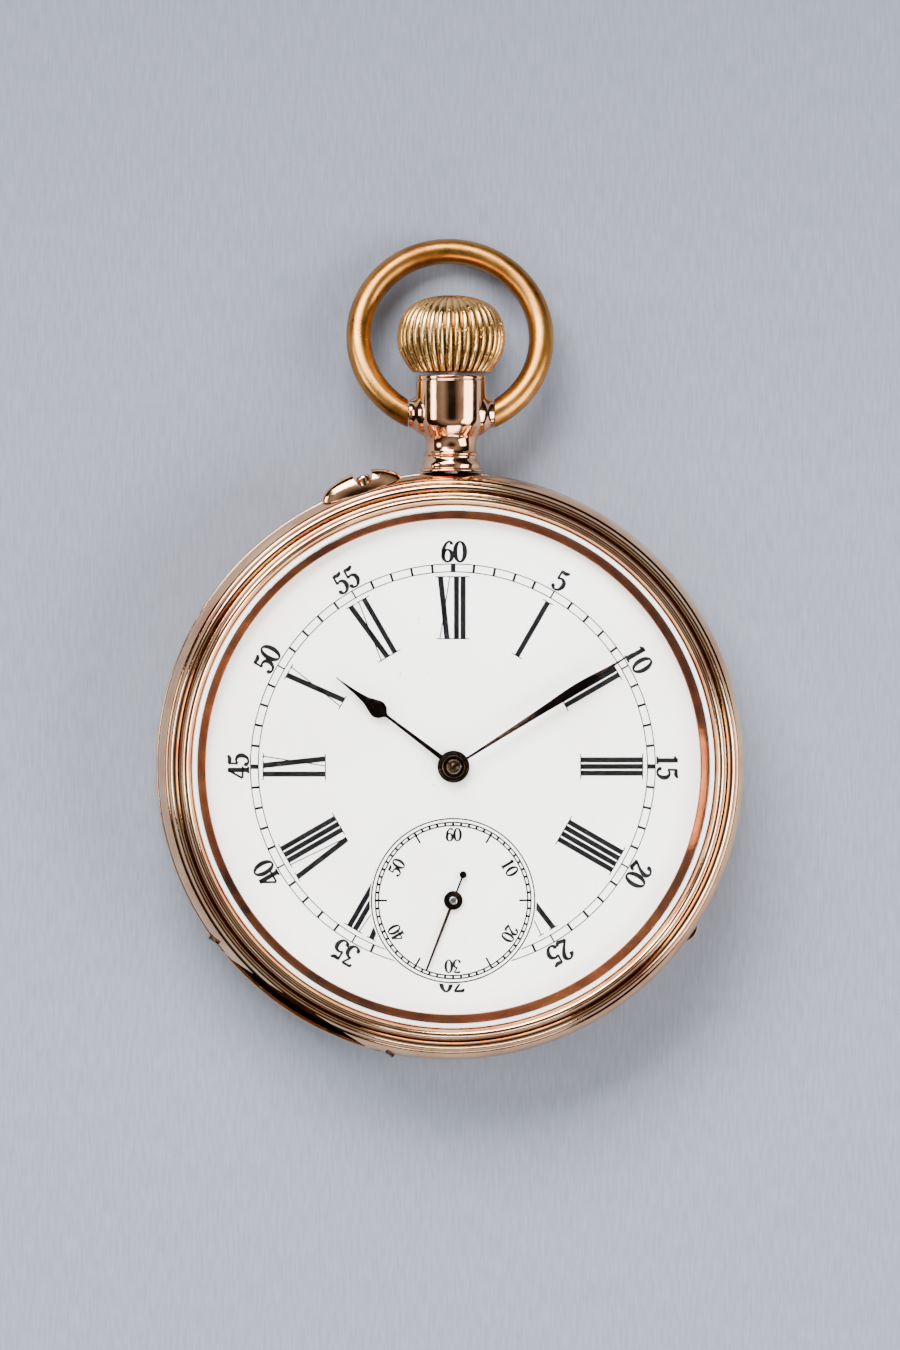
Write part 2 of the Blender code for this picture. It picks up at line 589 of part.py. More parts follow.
# ---------------------------------------------------------------- winding and power
def make_barrel():
    spin = math.atan2(CENTRE[1] - BARREL[1], CENTRE[0] - BARREL[0])
    barrel = prism("barrel", [toothed(64, 7.6, 0.5), circle((0, 0), 0.75, 12)], 5.6, 6.1, BRASS, BARREL, spin)
    wall = cutter("barrel_wall", [prism_mesh([circle((0, 0), 7.2, 28), circle((0, 0), 6.8, 28)], 4.26, 5.8)])
    wall.location = barrel.location
    combine(barrel, "UNION", wall)
    prism("barrel_cover", [circle((0, 0), 7.15, 28), circle((0, 0), 0.75, 12)], 3.97, 4.22, BRASS, BARREL)
    sections = [(2.05, 4.35, 0.6, 0.6), (4.35, 5.5, 1.4, 1.4), (5.5, 6.2, 0.66, 0.66), (6.2, 7.1, 0.5, 0.5)]
    arbor("barrel_arbor", sections, 8, STEEL, BARREL)
    strip("mainspring", 1.75, 6.5, 4, 0.25, 4.4, 5.45, BLUED, BARREL, 12)


def strip(name, inner, outer, turns, thickness, z0, z1, surface, at, per_turn):
    """A flat spiral of spring strip, wound from its inner radius to its outer one."""
    count = turns * per_turn
    sides = ([], [])
    for i in range(count + 1):
        angle = 2.0 * math.pi * i / per_turn
        radius = inner + (outer - inner) * i / count
        for side, offset in zip(sides, (-0.5, 0.5)):
            r = radius + offset * thickness
            side.append((r * math.cos(angle), r * math.sin(angle)))
    return prism(name, [sides[0] + sides[1][::-1]], z0, z1, surface, at)


def make_winding_wheels():
    ratchet = [toothed(40, 5.0, 0.5), circle((0, 0), 0.65, 12)]
    towards = math.atan2(CROWN_WHEEL[1] - BARREL[1], CROWN_WHEEL[0] - BARREL[0])
    prism("ratchet_wheel", ratchet, 2.1, 2.58, STEEL, BARREL, towards)
    crown = [toothed(32, 4.0), circle((0, 0), 1.27, 14)]
    prism("crown_wheel", crown, 2.1, 2.58, STEEL, CROWN_WHEEL, towards + math.pi)
    turned("crown_wheel_core", [(0.0, 1.65), (1.0, 1.65), (1.2, 1.8), (1.2, 2.62), (0.0, 2.62)], STEEL, 20,
           (*CROWN_WHEEL, 0.0))
    turned("ratchet_screw", [(0.0, 1.6), (1.1, 1.6), (1.3, 1.75), (1.3, 2.02), (0.0, 2.02)], STEEL, 20,
           (*BARREL, 0.0))
    x, y = CLICK_PIVOT
    beak = [(9.0, 10.46), (10.5, 9.55), (11.2, 9.3), (12.0, 9.8), (12.1, 10.6), (11.3, 11.1), (10.4, 11.0), (9.7, 10.95)]
    click = [(px - x, py - y) for px, py in beak]
    prism("click", [click, circle((0, 0), 0.35, 10)], 2.12, 2.5, STEEL, CLICK_PIVOT)
    turned("click_screw", [(0.0, 1.65), (0.65, 1.65), (0.65, 2.02), (0.3, 2.02), (0.3, 2.62), (0.0, 2.62)], STEEL, 12,
           (x, y, 0.0))
    blade = [(15.0, 7.75), (15.4, 8.3), (12.9, 11.3), (12.7, 11.15), (14.4, 8.6)]
    prism("click_spring", [blade], 2.15, 2.5, STEEL)


def make_setting_work():
    teeth = [toothed(48, 4.032), circle((0, 0), 0.5, 10)]
    prism("setting_wheel", teeth, 7.35, 7.6, BRASS, SETTING_WHEEL, -math.pi / 2.0)
    x, y = YOKE_PIVOT
    body = [
        (-10.2, 16.3), (-9.6, 15.75), (0.35, 15.95), (0.35, 16.85), (-5.6, 17.4), (-5.5, 18.2), (-5.59, 19.36),
        (-6.35, 19.12), (-8.6, 17.6), (-10.0, 17.1),
    ]
    yoke = prism("yoke", [[(px - x, py - y) for px, py in body], circle((0, 0), 0.45, 12)], 7.3, 7.6, STEEL, YOKE_PIVOT)
    tongue = cutter("yoke_tongue", [prism_mesh([circle((-x, 16.4 - y), 0.2, 10)], 6.55, 7.45)])
    tongue.location = yoke.location
    combine(yoke, "UNION", tongue)
    blade = [(-15.6, 10.4), (-14.9, 9.9), (-6.3, 14.2), (-6.4, 14.45), (-14.8, 11.4)]
    prism("yoke_spring", [blade], 7.3, 7.55, STEEL)


# ---------------------------------------------------------------- train and escapement
def wheel(name, teeth, pitch_radius, bore, z0, z1, at, phase=0.0, spin=0.0):
    """A crossed-out brass wheel with four spokes."""
    loops = [toothed(teeth, pitch_radius, phase), circle((0, 0), bore, 10)]
    loops += windows(1.3, pitch_radius - 0.8, 4, 8.0)
    return prism(name, loops, z0, z1, BRASS, at, spin)


def make_train():
    """Each wheel is turned so that a gap faces the next pinion, whose leaf fills it."""
    def towards(start, end):
        return math.atan2(end[1] - start[1], end[0] - start[0])

    arbor("centre_arbor", [
        (2.3, 3.3, 0.45, 0.45), (3.3, 3.75, 0.58, 0.58), (3.75, 5.5, 0.5, 0.5), (5.5, 6.25, 0.66, 1.1),
        (6.25, 7.24, 0.56, 0.56), (7.24, 10.2, 0.4, 0.4),
    ], 8, STEEL, CENTRE, towards(CENTRE, BARREL))
    wheel("centre_wheel", 64, 6.4, 0.62, 3.4, 3.65, CENTRE, 0.5, towards(CENTRE, THIRD))
    arbor("third_arbor", [
        (2.4, 3.3, 0.18, 0.18), (3.3, 4.15, 0.56, 0.93), (4.15, 4.9, 0.42, 0.42), (4.9, 6.9, 0.16, 0.16),
    ], 8, STEEL, THIRD, towards(THIRD, CENTRE))
    wheel("third_wheel", 60, 5.25, 0.46, 4.55, 4.8, THIRD, 0.5, towards(THIRD, FOURTH))
    arbor("fourth_arbor", [
        (2.4, 3.3, 0.18, 0.18), (3.3, 4.42, 0.36, 0.36), (4.42, 5.2, 0.49, 0.81), (5.2, 9.2, 0.2, 0.2),
    ], 8, STEEL, FOURTH, towards(FOURTH, THIRD))
    wheel("fourth_wheel", 70, 4.8, 0.4, 4.0, 4.2, FOURTH, 0.5, towards(FOURTH, ESCAPE))
    arbor("escape_arbor", [
        (2.4, 3.3, 0.16, 0.16), (3.3, 3.8, 0.28, 0.28), (3.8, 4.42, 0.33, 0.57), (4.42, 5.3, 0.32, 0.32),
        (5.3, 6.9, 0.16, 0.16),
    ], 7, STEEL, ESCAPE, towards(ESCAPE, FOURTH))
    tooth = 2.0 * math.pi / 15.0
    club = []
    for i in range(15):
        for offset, radius in ((0.0, 2.95), (0.45, 3.05), (0.62, 3.6), (0.78, 3.5)):
            angle = (i + offset) * tooth
            club.append((radius * math.cos(angle), radius * math.sin(angle)))
    loops = [club, circle((0, 0), 0.36, 10)] + windows(0.8, 2.5, 4, 10.0)
    prism("escape_wheel", loops, 4.95, 5.2, STEEL, ESCAPE)


def make_escapement():
    half = [(3.75, 0.55), (3.75, 0.22), (3.12, 0.22)]
    lower = [(3.75, -0.55), (2.9, -0.5), (0.7, -0.3), (0.35, -0.6), (-0.45, -2.15), (-0.9, -2.1), (-0.55, -1.5), (-0.4, -0.5)]
    upper = [(x, -y) for x, y in reversed(lower)]
    fork = lower + upper[:-1] + half + [(x, -y) for x, y in reversed(half)][:-1]
    lever = prism("pallet_fork", [fork], 4.95, 5.2, STEEL, PALLET, LEVER_ANGLE)
    pin = cutter("pallet_pivots", [prism_mesh([circle((0, 0), 0.15, 10)], 4.4, 6.9)])
    pin.location = lever.location
    combine(lever, "UNION", pin)

    outline = [circle((0, 0), 6.8, 40), circle((0, 0), 0.47, 10)]
    for start in (8.0, 188.0):
        outline.append(arc((0, 0), 6.1, start, start + 164.0, 16) + arc((0, 0), 1.2, start + 140.0, start + 24.0, 3))
    prism("balance_wheel", outline, 3.6, 4.1, BRASS, BALANCE, LEVER_ANGLE)
    staff = arbor("balance_staff", [
        (2.3, 3.3, 0.15, 0.15), (3.3, 4.42, 0.43, 0.43), (4.42, 4.58, 1.45, 1.45), (4.58, 5.2, 0.3, 0.3),
        (5.2, 6.6, 0.14, 0.14),
    ], 8, STEEL, BALANCE)
    jewel = turned_points([(-1.18, 0.0)], LEVER_ANGLE)[0]
    impulse = cutter("impulse_pin", [prism_mesh([circle(jewel, 0.15, 8)], 4.5, 5.3)])
    impulse.location = staff.location
    combine(staff, "UNION", impulse)
    strip("hairspring", 0.75, 4.4, 4, 0.12, 3.03, 3.26, BLUED, BALANCE, 12)
    ring = [circle((0, 0), 1.9, 20), circle((0, 0), 1.25, 16)]
    index = prism("regulator", ring, 1.6, 1.85, STEEL, BALANCE)
    tail = [(-0.35, 1.6), (0.35, 1.6), (0.3, 5.0), (0.0, 5.6), (-0.3, 5.0)]
    pointer = cutter("regulator_tail", [prism_mesh([turned_points(tail, math.radians(-20.0))], 1.6, 1.85)])
    pointer.location = index.location
    combine(index, "UNION", pointer)


# ---------------------------------------------------------------- dial side
def make_motion_work():
    leaves = 10
    teeth = [0.98 if i % 2 == 0 else 0.65 for i in range(2 * leaves)]
    plain = [0.62] * 2 * leaves
    bore = [0.45] * 2 * leaves
    rings = [(7.28, bore), (7.28, teeth), (7.65, teeth), (7.65, plain), (10.1, plain), (10.1, bore)]
    finish("cannon_pinion", lathe_mesh(rings), STEEL, (*CENTRE, 0.0), math.pi / 2.0)
    wheel_loops = [toothed(30, 2.52, 0.5), circle((0, 0), 0.3, 8)]
    minute = prism("minute_wheel", wheel_loops, 7.35, 7.58, BRASS, MINUTE_WHEEL, -math.pi / 2.0)
    pinion_loops = [toothed(8, 0.672, 0.5), circle((0, 0), 0.3, 8)]
    pinion = cutter("minute_wheel_pinion", [prism_mesh(pinion_loops, 7.5, 8.0)], -math.pi / 2.0)
    pinion.location = minute.location
    combine(minute, "UNION", pinion)
    hour = prism("hour_wheel", [toothed(32, 2.688), circle((0, 0), 0.68, 14)], 7.75, 7.95, BRASS, CENTRE,
                 math.pi / 2.0)
    pipe = cutter("hour_wheel_pipe", [prism_mesh([circle((0, 0), 1.0, 14), circle((0, 0), 0.68, 14)], 7.85, 9.6)],
                  math.pi / 2.0)
    combine(hour, "UNION", pipe)


def make_dial_and_hands():
    loops = [circle((0, 0), DIAL_R, CASE_SEGMENTS), circle(CENTRE, 1.2, 14), circle(FOURTH, 0.4, 10)]
    prism("dial", loops, DIAL_BACK, DIAL_FRONT, ENAMEL)

    def boss(radius, start, end):
        return arc((0, 0), radius, start, end, 11)

    # The pear of the hour hand swells round its centre and runs out in a hollow curve to the point.
    hour = [(1.32, 0.21), (7.0, 0.13), (7.2, 0.2), (7.4, 0.55), (7.96, 0.75), (8.5, 0.62), (9.1, 0.36), (10.2, 0.17),
            (12.4, 0.0)]
    minute = [(0.88, 0.1), (9.0, 0.28), (11.9, 0.4), (14.0, 0.28), (15.8, 0.09), (17.8, 0.0)]
    seconds = [(0.75, 0.1), (6.33, 0.04)]
    hour_loop = hand(hour) + boss(1.35, 100.0, 440.0)
    prism("hour_hand", [hour_loop, circle((0, 0), 1.04, 14)], 9.35, 9.5, HAND_STEEL, CENTRE, -math.radians(HOUR_ANGLE))
    minute_loop = hand(minute) + boss(0.91, 97.0, 443.0)
    prism("minute_hand", [minute_loop, circle((0, 0), 0.66, 10)], 9.8, 9.95, HAND_STEEL, CENTRE,
          -math.radians(MINUTE_ANGLE))
    tail = [(-0.09, -0.78), (-0.06, -2.0)] + arc((0.0, -2.3), 0.31, 110.0, 430.0, 10) + [(0.06, -2.0), (0.09, -0.78)]
    seconds_loop = hand(seconds) + boss(0.8, 98.0, 263.0) + tail + boss(0.8, 277.0, 442.0)
    prism("seconds_hand", [seconds_loop, circle((0, 0), 0.23, 12)], 8.95, 9.08, HAND_STEEL, FOURTH,
          -math.radians(SECONDS_ANGLE))


make_case_middle()
make_back_cover()
make_cuvette()
make_hinge_pins()
make_bezel_and_crystal()
make_pendant()
make_bow()
make_crown_and_stem()
make_push_piece()
make_mainplate()
make_barrel_bridge()
make_train_bridge()
make_cocks()
make_screws()
make_barrel()
make_winding_wheels()
make_setting_work()
make_train()
make_escapement()
make_motion_work()
make_dial_and_hands()
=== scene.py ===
import json
import math
import bpy
from mathutils import Matrix, Vector


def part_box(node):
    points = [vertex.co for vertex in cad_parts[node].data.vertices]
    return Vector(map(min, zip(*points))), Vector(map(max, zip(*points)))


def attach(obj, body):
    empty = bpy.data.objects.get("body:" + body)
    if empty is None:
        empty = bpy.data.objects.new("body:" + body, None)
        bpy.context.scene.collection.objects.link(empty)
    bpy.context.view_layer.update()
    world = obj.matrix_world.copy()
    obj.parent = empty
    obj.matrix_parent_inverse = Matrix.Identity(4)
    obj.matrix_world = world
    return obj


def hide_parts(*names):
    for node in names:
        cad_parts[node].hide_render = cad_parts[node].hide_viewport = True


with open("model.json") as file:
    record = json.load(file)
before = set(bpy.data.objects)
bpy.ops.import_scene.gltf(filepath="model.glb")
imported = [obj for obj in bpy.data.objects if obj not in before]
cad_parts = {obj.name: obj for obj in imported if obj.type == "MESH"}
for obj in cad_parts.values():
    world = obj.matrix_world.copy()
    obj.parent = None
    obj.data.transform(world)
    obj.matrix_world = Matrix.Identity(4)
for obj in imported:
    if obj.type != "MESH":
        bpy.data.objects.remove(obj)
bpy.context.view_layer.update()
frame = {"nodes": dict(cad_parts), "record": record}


# ---- Case band
# The middle of the case, a ring turned from rose gold, on which the bezel snaps and the back is hinged.
# It is lapped and buffed; its bright curve bulges a little between the bezel and the back cover.
MM = 0.001
UP = Vector((0.0, 0.0, 1.0))
NORTH = Vector((0.0, 1.0, 0.0))
AXIS = Vector((0.0, 0.0, 0.0))
joints = {joint["name"]: joint for joint in frame["record"]["behaviour"]["joints"]}
STEM = UP * joints["crown_turn"]["pos_m"][2] / MM
back_hinge = Vector(joints["back_cover_hinge"]["pos_m"]) / MM
dust_hinge = Vector(joints["cuvette_hinge"]["pos_m"]) / MM
# The turn that carries the foot of the watch round to the hinge, and each hinge's distance and height.
HINGE_TURN = math.atan2(back_hinge.y, back_hinge.x) + math.pi / 2
HINGE_REACH, HINGE_RISE = back_hinge.xy.length, back_hinge.z
DUST_REACH, DUST_RISE = dust_hinge.xy.length, dust_hinge.z
TUBE, TUBE_BORE, DUST_TUBE, DUST_BORE = 0.5, 0.26, 0.4, 0.2
# The setting pin slides along this way, at this height, in a bore of this radius.
push_way = -Vector(joints["push_piece_press"]["axis"])
PUSH_RISE = (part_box("push_piece")[0].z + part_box("push_piece")[1].z) / 2 / MM
PUSH_BORE = 0.66


def clock_place(degrees, radius, height=0.0):
    """A point in millimetres, at that many degrees clockwise from 12."""
    angle = math.radians(90.0 - degrees)
    return Vector((radius * math.cos(angle), radius * math.sin(angle), height))


def rounded(corners):
    """A profile of (radius, height, rounding) with each corner drawn as a small curve of that reach."""
    line = []
    for i, (x, y, reach) in enumerate(corners):
        if reach == 0.0:
            line.append((x, y))
            continue
        corner = Vector((x, y))
        before = Vector(corners[i - 1][:2]) - corner
        after = Vector(corners[(i + 1) % len(corners)][:2]) - corner
        start = corner + before * min(0.48, reach / before.length)
        end = corner + after * min(0.48, reach / after.length)
        for k in range(7):
            t = k / 6.0
            line.append(tuple(start * (1 - t) ** 2 + corner * 2 * t * (1 - t) + end * t ** 2))
    return line


def spun(name, line, centre=AXIS, along=UP, steps=192):
    """Turns a piece as on a lathe: a loop drawn to the profile, spun right round and closed."""
    bpy.ops.object.select_all(action="DESELECT")
    bpy.ops.mesh.primitive_circle_add(vertices=len(line), radius=MM)
    piece = bpy.context.object
    piece.name = name
    side = along.orthogonal().normalized()
    for corner, (radius, height) in zip(piece.data.vertices, line):
        corner.co = (centre + side * radius + along * height) * MM
    bpy.ops.object.mode_set(mode="EDIT")
    bpy.ops.mesh.select_all(action="SELECT")
    bpy.ops.mesh.spin(steps=steps, angle=2.0 * math.pi, center=centre * MM, axis=along)
    bpy.ops.mesh.select_all(action="SELECT")
    bpy.ops.mesh.remove_doubles(threshold=2e-6)
    bpy.ops.mesh.delete_loose(use_verts=True, use_edges=True, use_faces=False)
    bpy.ops.mesh.select_all(action="SELECT")
    bpy.ops.mesh.normals_make_consistent(inside=False)
    bpy.ops.object.mode_set(mode="OBJECT")
    bpy.ops.object.shade_smooth_by_angle(angle=math.radians(32.0))
    return piece


def block(name, low, high, turn=0.0):
    """A square-edged cutter or lug between two corners in millimetres, then turned about the watch's axis."""
    bpy.ops.object.select_all(action="DESELECT")
    bpy.ops.mesh.primitive_cube_add(size=1.0)
    piece = bpy.context.object
    piece.name = name
    low, high = Vector(low) * MM, Vector(high) * MM
    for corner in piece.data.vertices:
        share = [low[i] + (corner.co[i] + 0.5) * (high[i] - low[i]) for i in range(3)]
        corner.co = Matrix.Rotation(turn, 3, "Z") @ Vector(share)
    return piece


def work(piece, tool, operation):
    """Cuts a piece with a tool or solders the tool on to it."""
    bpy.ops.object.select_all(action="DESELECT")
    piece.select_set(True)
    bpy.context.view_layer.objects.active = piece
    joined = piece.modifiers.new("work", "BOOLEAN")
    joined.operation = operation
    joined.solver = "EXACT"
    joined.object = tool
    bpy.ops.object.modifier_apply(modifier="work")
    bpy.data.objects.remove(tool)
    bpy.ops.object.shade_smooth_by_angle(angle=math.radians(32.0))


def bar(name, start, end, radius, steps=32):
    """A round bar or drill between two points in millimetres, its ends lightly chamfered."""
    length = (end - start).length
    chamfer = min(0.12 * radius, 0.2 * length)
    line = [(0.0, 0.0), (radius - chamfer, 0.0), (radius, chamfer), (radius, length - chamfer),
            (radius - chamfer, length), (0.0, length)]
    return spun(name, line, start, (end - start).normalized(), steps)


def linear(code):
    """An sRGB hex colour as the linear colour that a shader takes."""
    parts = [int(code[i:i + 2], 16) / 255.0 for i in (0, 2, 4)]
    return [c / 12.92 if c < 0.04045 else ((c + 0.055) / 1.055) ** 2.4 for c in parts] + [1.0]


def add_node(tree, kind, settings, links=None, stops=()):
    """Adds a shader node with its settings, by socket or property, its links from (node, output), and, for a
    colour ramp, its stops of (position, hex colour)."""
    made = tree.nodes.new(kind)
    for key, value in settings.items():
        if isinstance(key, int) or key in made.inputs.keys():
            made.inputs[key].default_value = value
        else:
            setattr(made, key, value)
    for key, (source, output) in (links or {}).items():
        tree.links.new(source.outputs[output], made.inputs[key])
    for i, (position, code) in enumerate(stops[:1] + stops[-1:]):
        made.color_ramp.elements[i].position = position
        made.color_ramp.elements[i].color = linear(code)
    for position, code in stops[1:-1]:
        made.color_ramp.elements.new(position).color = linear(code)
    return made


def finish_of(name, settings):
    """A new material whose shader has those settings, with its tree, shader and place coordinates."""
    material = bpy.data.materials.new(name)
    material.use_nodes = True
    tree = material.node_tree
    shader = tree.nodes["Principled BSDF"]
    for key, value in settings.items():
        shader.inputs[key].default_value = value
    place = add_node(tree, "ShaderNodeTexCoord", {})
    return material, tree, shader, place


def worn_metal(name, colours, roughness, scratch, grain=1100.0):
    """Polished metal in use: its colour clouds over some millimetres, and fine hairlines cross it."""
    material, tree, shader, place = finish_of(name, {"Metallic": 1.0})
    cloud = add_node(tree, "ShaderNodeTexNoise", {"Scale": 190.0, "Detail": 4.0, "Roughness": 0.6},
                     {"Vector": (place, "Object")})
    tint = add_node(tree, "ShaderNodeValToRGB", {}, {"Fac": (cloud, "Fac")},
                    [(0.3, colours[0]), (0.52, colours[1]), (0.72, colours[2])])
    tree.links.new(tint.outputs["Color"], shader.inputs["Base Color"])
    smear = add_node(tree, "ShaderNodeTexNoise", {"Scale": 620.0, "Detail": 5.0, "Roughness": 0.65},
                     {"Vector": (place, "Object")})
    dull = add_node(tree, "ShaderNodeMapRange",
                    {"From Min": 0.35, "From Max": 0.75, "To Min": roughness[0], "To Max": roughness[1]},
                    {"Value": (smear, "Fac")})
    tree.links.new(dull.outputs["Result"], shader.inputs["Roughness"])
    skew = add_node(tree, "ShaderNodeMapping", {"Rotation": (0.3, 0.5, 0.7), "Scale": (1.0, 7.0, 2.0)},
                    {"Vector": (place, "Object")})
    lines = add_node(tree, "ShaderNodeTexNoise", {"Scale": grain, "Detail": 3.0, "Distortion": 0.4},
                     {"Vector": (skew, "Vector")})
    bump = add_node(tree, "ShaderNodeBump", {"Strength": scratch, "Distance": 0.00002},
                    {"Height": (lines, "Fac")})
    tree.links.new(bump.outputs["Normal"], shader.inputs["Normal"])
    return material, tree, shader, place, tint


# Rose gold of about 14 carat, turned and buffed: pink and bright, with paler rubbed places and hairlines
# of about 0.1 mm, drawn somewhat coarse so that they show; dark rings of painted shade lie in the grooves.
rose_gold, tree, shader, place, tint = worn_metal(
    "buffed_rose_gold", ["CF8E6C", "E5B488", "F5D2A4"], (0.07, 0.17), 0.14)
flat = add_node(tree, "ShaderNodeVectorMath", {"operation": "MULTIPLY", 1: (1000.0, 1000.0, 0.0)},
                {0: (place, "Object")})
reach = add_node(tree, "ShaderNodeVectorMath", {"operation": "LENGTH"}, {0: (flat, "Vector")})
groove = add_node(tree, "ShaderNodeMapRange", {"From Min": 21.5, "From Max": 25.1},
                  {"Value": (reach, "Value")})
# Painted shade: dark rings at the radii of the grooves between the bezel's mouldings and the band.
painted_groove_shade = add_node(tree, "ShaderNodeValToRGB", {}, {"Fac": (groove, "Result")}, [
    (0.0, "FFFFFF"), (0.14, "FFFFFF"), (0.155, "6E4A35"), (0.17, "FFFFFF"), (0.36, "FFFFFF"),
    (0.385, "4A2E20"), (0.41, "FFFFFF"), (0.67, "FFFFFF"), (0.7, "5C3A28"), (0.74, "FFFFFF"),
    (1.0, "FFFFFF")])
groove_shaded = add_node(tree, "ShaderNodeMix", {"data_type": "RGBA", "blend_type": "MULTIPLY", 0: 0.85},
                 {6: (tint, "Color"), 7: (painted_groove_shade, "Color")})
# The bezel's sloped inner wall is painted brown: a painted dark reflection of the dim room it would mirror.
inner = add_node(tree, "ShaderNodeMapRange", {"From Min": 21.58, "From Max": 21.52},
                 {"Value": (reach, "Value")})
parts = add_node(tree, "ShaderNodeSeparateXYZ", {}, {"Vector": (place, "Object")})
above = add_node(tree, "ShaderNodeMapRange", {"From Min": 0.0092, "From Max": 0.0095},
                 {"Value": (parts, "Z")})
wall = add_node(tree, "ShaderNodeMath", {"operation": "MULTIPLY"},
                {0: (inner, "Result"), 1: (above, "Result")})
# Painted reflection: the inner wall's colour is multiplied down to a dark brown.
painted_wall_reflection = add_node(tree, "ShaderNodeMix",
                   {"data_type": "RGBA", "blend_type": "MULTIPLY", 7: linear("9C6E50")},
                   {0: (wall, "Value"), 6: (groove_shaded, 2)})
tree.links.new(painted_wall_reflection.outputs[2], shader.inputs["Base Color"])

band = spun("case_band", rounded([
    (21.45, 3.3, 0.0), (22.75, 3.3, 0.15), (24.2, 3.95, 0.15), (24.3, 4.6, 0.05), (24.6, 4.75, 0.1),
    (24.78, 6.2, 0.9), (24.68, 7.6, 0.6), (24.1, 8.6, 0.35), (22.3, 8.6, 0.0), (22.3, 9.3, 0.0),
    (21.45, 9.3, 0.0)]))
# A lens-shaped gap is milled over the hinge, and one knuckle tube of each hinge is soldered in its middle.
work(band, block("hinge_channel", (-9.65, -26.0, 3.0), (9.65, -22.62, 6.8), HINGE_TURN), "DIFFERENCE")
work(band, block("lens_gap", (-7.6, -26.0, 6.0), (7.6, -23.75, 9.5), HINGE_TURN), "DIFFERENCE")
for end in (-9.65, 8.35):
    work(band, block("lens_end", (end, -26.0, 6.0), (end + 1.3, -22.95, 9.5), HINGE_TURN), "DIFFERENCE")
work(band, block("knuckle_lug", (-3.0, -23.05, 4.68), (3.0, -22.4, 5.32), HINGE_TURN), "UNION")
work(band, block("cuvette_lug", (-2.8, -DUST_REACH, 3.0), (2.8, -21.95, 3.5), HINGE_TURN), "UNION")


def on_hinge(along, distance, height):
    """A point on the hinge side: along the chord, its distance from the watch's axis, and its height."""
    return Matrix.Rotation(HINGE_TURN, 3, "Z") @ Vector((along, -distance, height))


def knuckle(name, start, end, distance, height, radius):
    return bar(name, on_hinge(start, distance, height), on_hinge(end, distance, height), radius)


work(band, knuckle("band_knuckle", -3.15, 3.15, HINGE_REACH, HINGE_RISE, TUBE), "UNION")
work(band, knuckle("band_bore", -4.0, 4.0, HINGE_REACH, HINGE_RISE, TUBE_BORE), "DIFFERENCE")
work(band, knuckle("cuvette_knuckle", -2.95, 2.95, DUST_REACH, DUST_RISE, DUST_TUBE), "UNION")
work(band, knuckle("cuvette_bore", -4.0, 4.0, DUST_REACH, DUST_RISE, DUST_BORE), "DIFFERENCE")
work(band, bar("stem_hole", STEM + NORTH * 20, STEM + NORTH * 26, 0.72), "DIFFERENCE")
push_hole = bar("push_hole", push_way * 20 + UP * PUSH_RISE, push_way * 26 + UP * PUSH_RISE, PUSH_BORE)
work(band, push_hole, "DIFFERENCE")
band.data.materials.append(rose_gold)
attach(band, "case")
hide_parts("case_middle")


# ---- Back cover
# The outer back, a shallow bowl spun from rose gold sheet. It snaps over the band, is hinged at 7 o'clock
# with two knuckle tubes, and has a small lip at 4 o'clock for a thumbnail.
back = spun("back_lid", rounded([
    (0.0, 0.0, 0.0), (16.0, 0.0, 2.5), (20.5, 0.42, 1.2), (23.1, 1.5, 1.2), (24.6, 2.85, 0.9),
    (24.99, 3.9, 0.5), (24.86, 4.44, 0.15), (24.58, 4.3, 0.1), (24.3, 3.2, 0.6), (22.8, 1.95, 0.8),
    (20.4, 0.88, 1.0),
    (16.0, 0.42, 2.0), (0.0, 0.42, 0.0)]))
for side in (-1.0, 1.0):
    lug_start, lug_end = sorted((6.2 * side, 8.2 * side))
    lug = block("lid_lug", (lug_start, -24.4, 3.7), (lug_end, -HINGE_REACH, 4.42), HINGE_TURN)
    work(lug, bar("rim_circle", UP * 3.0, UP * 6.0, 24.7, 128), "INTERSECT")
    work(back, lug, "UNION")
    tube = knuckle("lid_knuckle", 3.3 * side, 9.4 * side, HINGE_REACH, HINGE_RISE, TUBE)
    work(tube, bar("rim_circle", UP * 3.0, UP * 6.0, 24.85, 128), "INTERSECT")
    work(back, tube, "UNION")
work(back, knuckle("lid_bore", -9.2, 9.2, HINGE_REACH, HINGE_RISE, TUBE_BORE), "DIFFERENCE")
lip = bar("thumb_lip", clock_place(124.7, 23.9, 3.78), clock_place(124.7, 23.9, 4.13), 1.38, 48)
work(back, lip, "UNION")
back.data.materials.append(rose_gold)
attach(back, "back")
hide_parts("back_cover")


# ---- Dust cover
# The inner lid, or cuvette, of thin rose gold. It keeps dust from the movement under the back cover and
# turns on its own smaller hinge, beside the other one.
dust = spun("dust_lid", rounded([
    (0.0, 1.15, 0.0), (19.2, 1.15, 0.8), (21.3, 1.8, 0.5), (21.75, 2.8, 0.2), (22.28, 2.9, 0.08),
    (22.28, 3.13, 0.08), (21.5, 3.13, 0.1), (21.1, 2.1, 0.4), (19.1, 1.45, 0.8), (0.0, 1.45, 0.0)]))
work(dust, block("dust_notch", (-3.1, -23.0, 2.0), (3.1, -21.7, 3.5), HINGE_TURN), "DIFFERENCE")
for side in (-1.0, 1.0):
    lug_start, lug_end = sorted((3.25 * side, 4.85 * side))
    work(dust, block("dust_lug", (lug_start, -22.15, 2.6), (lug_end, -21.0, 2.96), HINGE_TURN), "UNION")
    tube = knuckle("dust_knuckle", 3.2 * side, 4.9 * side, DUST_REACH, DUST_RISE, DUST_TUBE)
    work(dust, tube, "UNION")
work(dust, knuckle("dust_bore", -5.4, 5.4, DUST_REACH, DUST_RISE, DUST_BORE), "DIFFERENCE")
dust.data.materials.append(rose_gold)
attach(dust, "dust_cover")
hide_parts("cuvette")


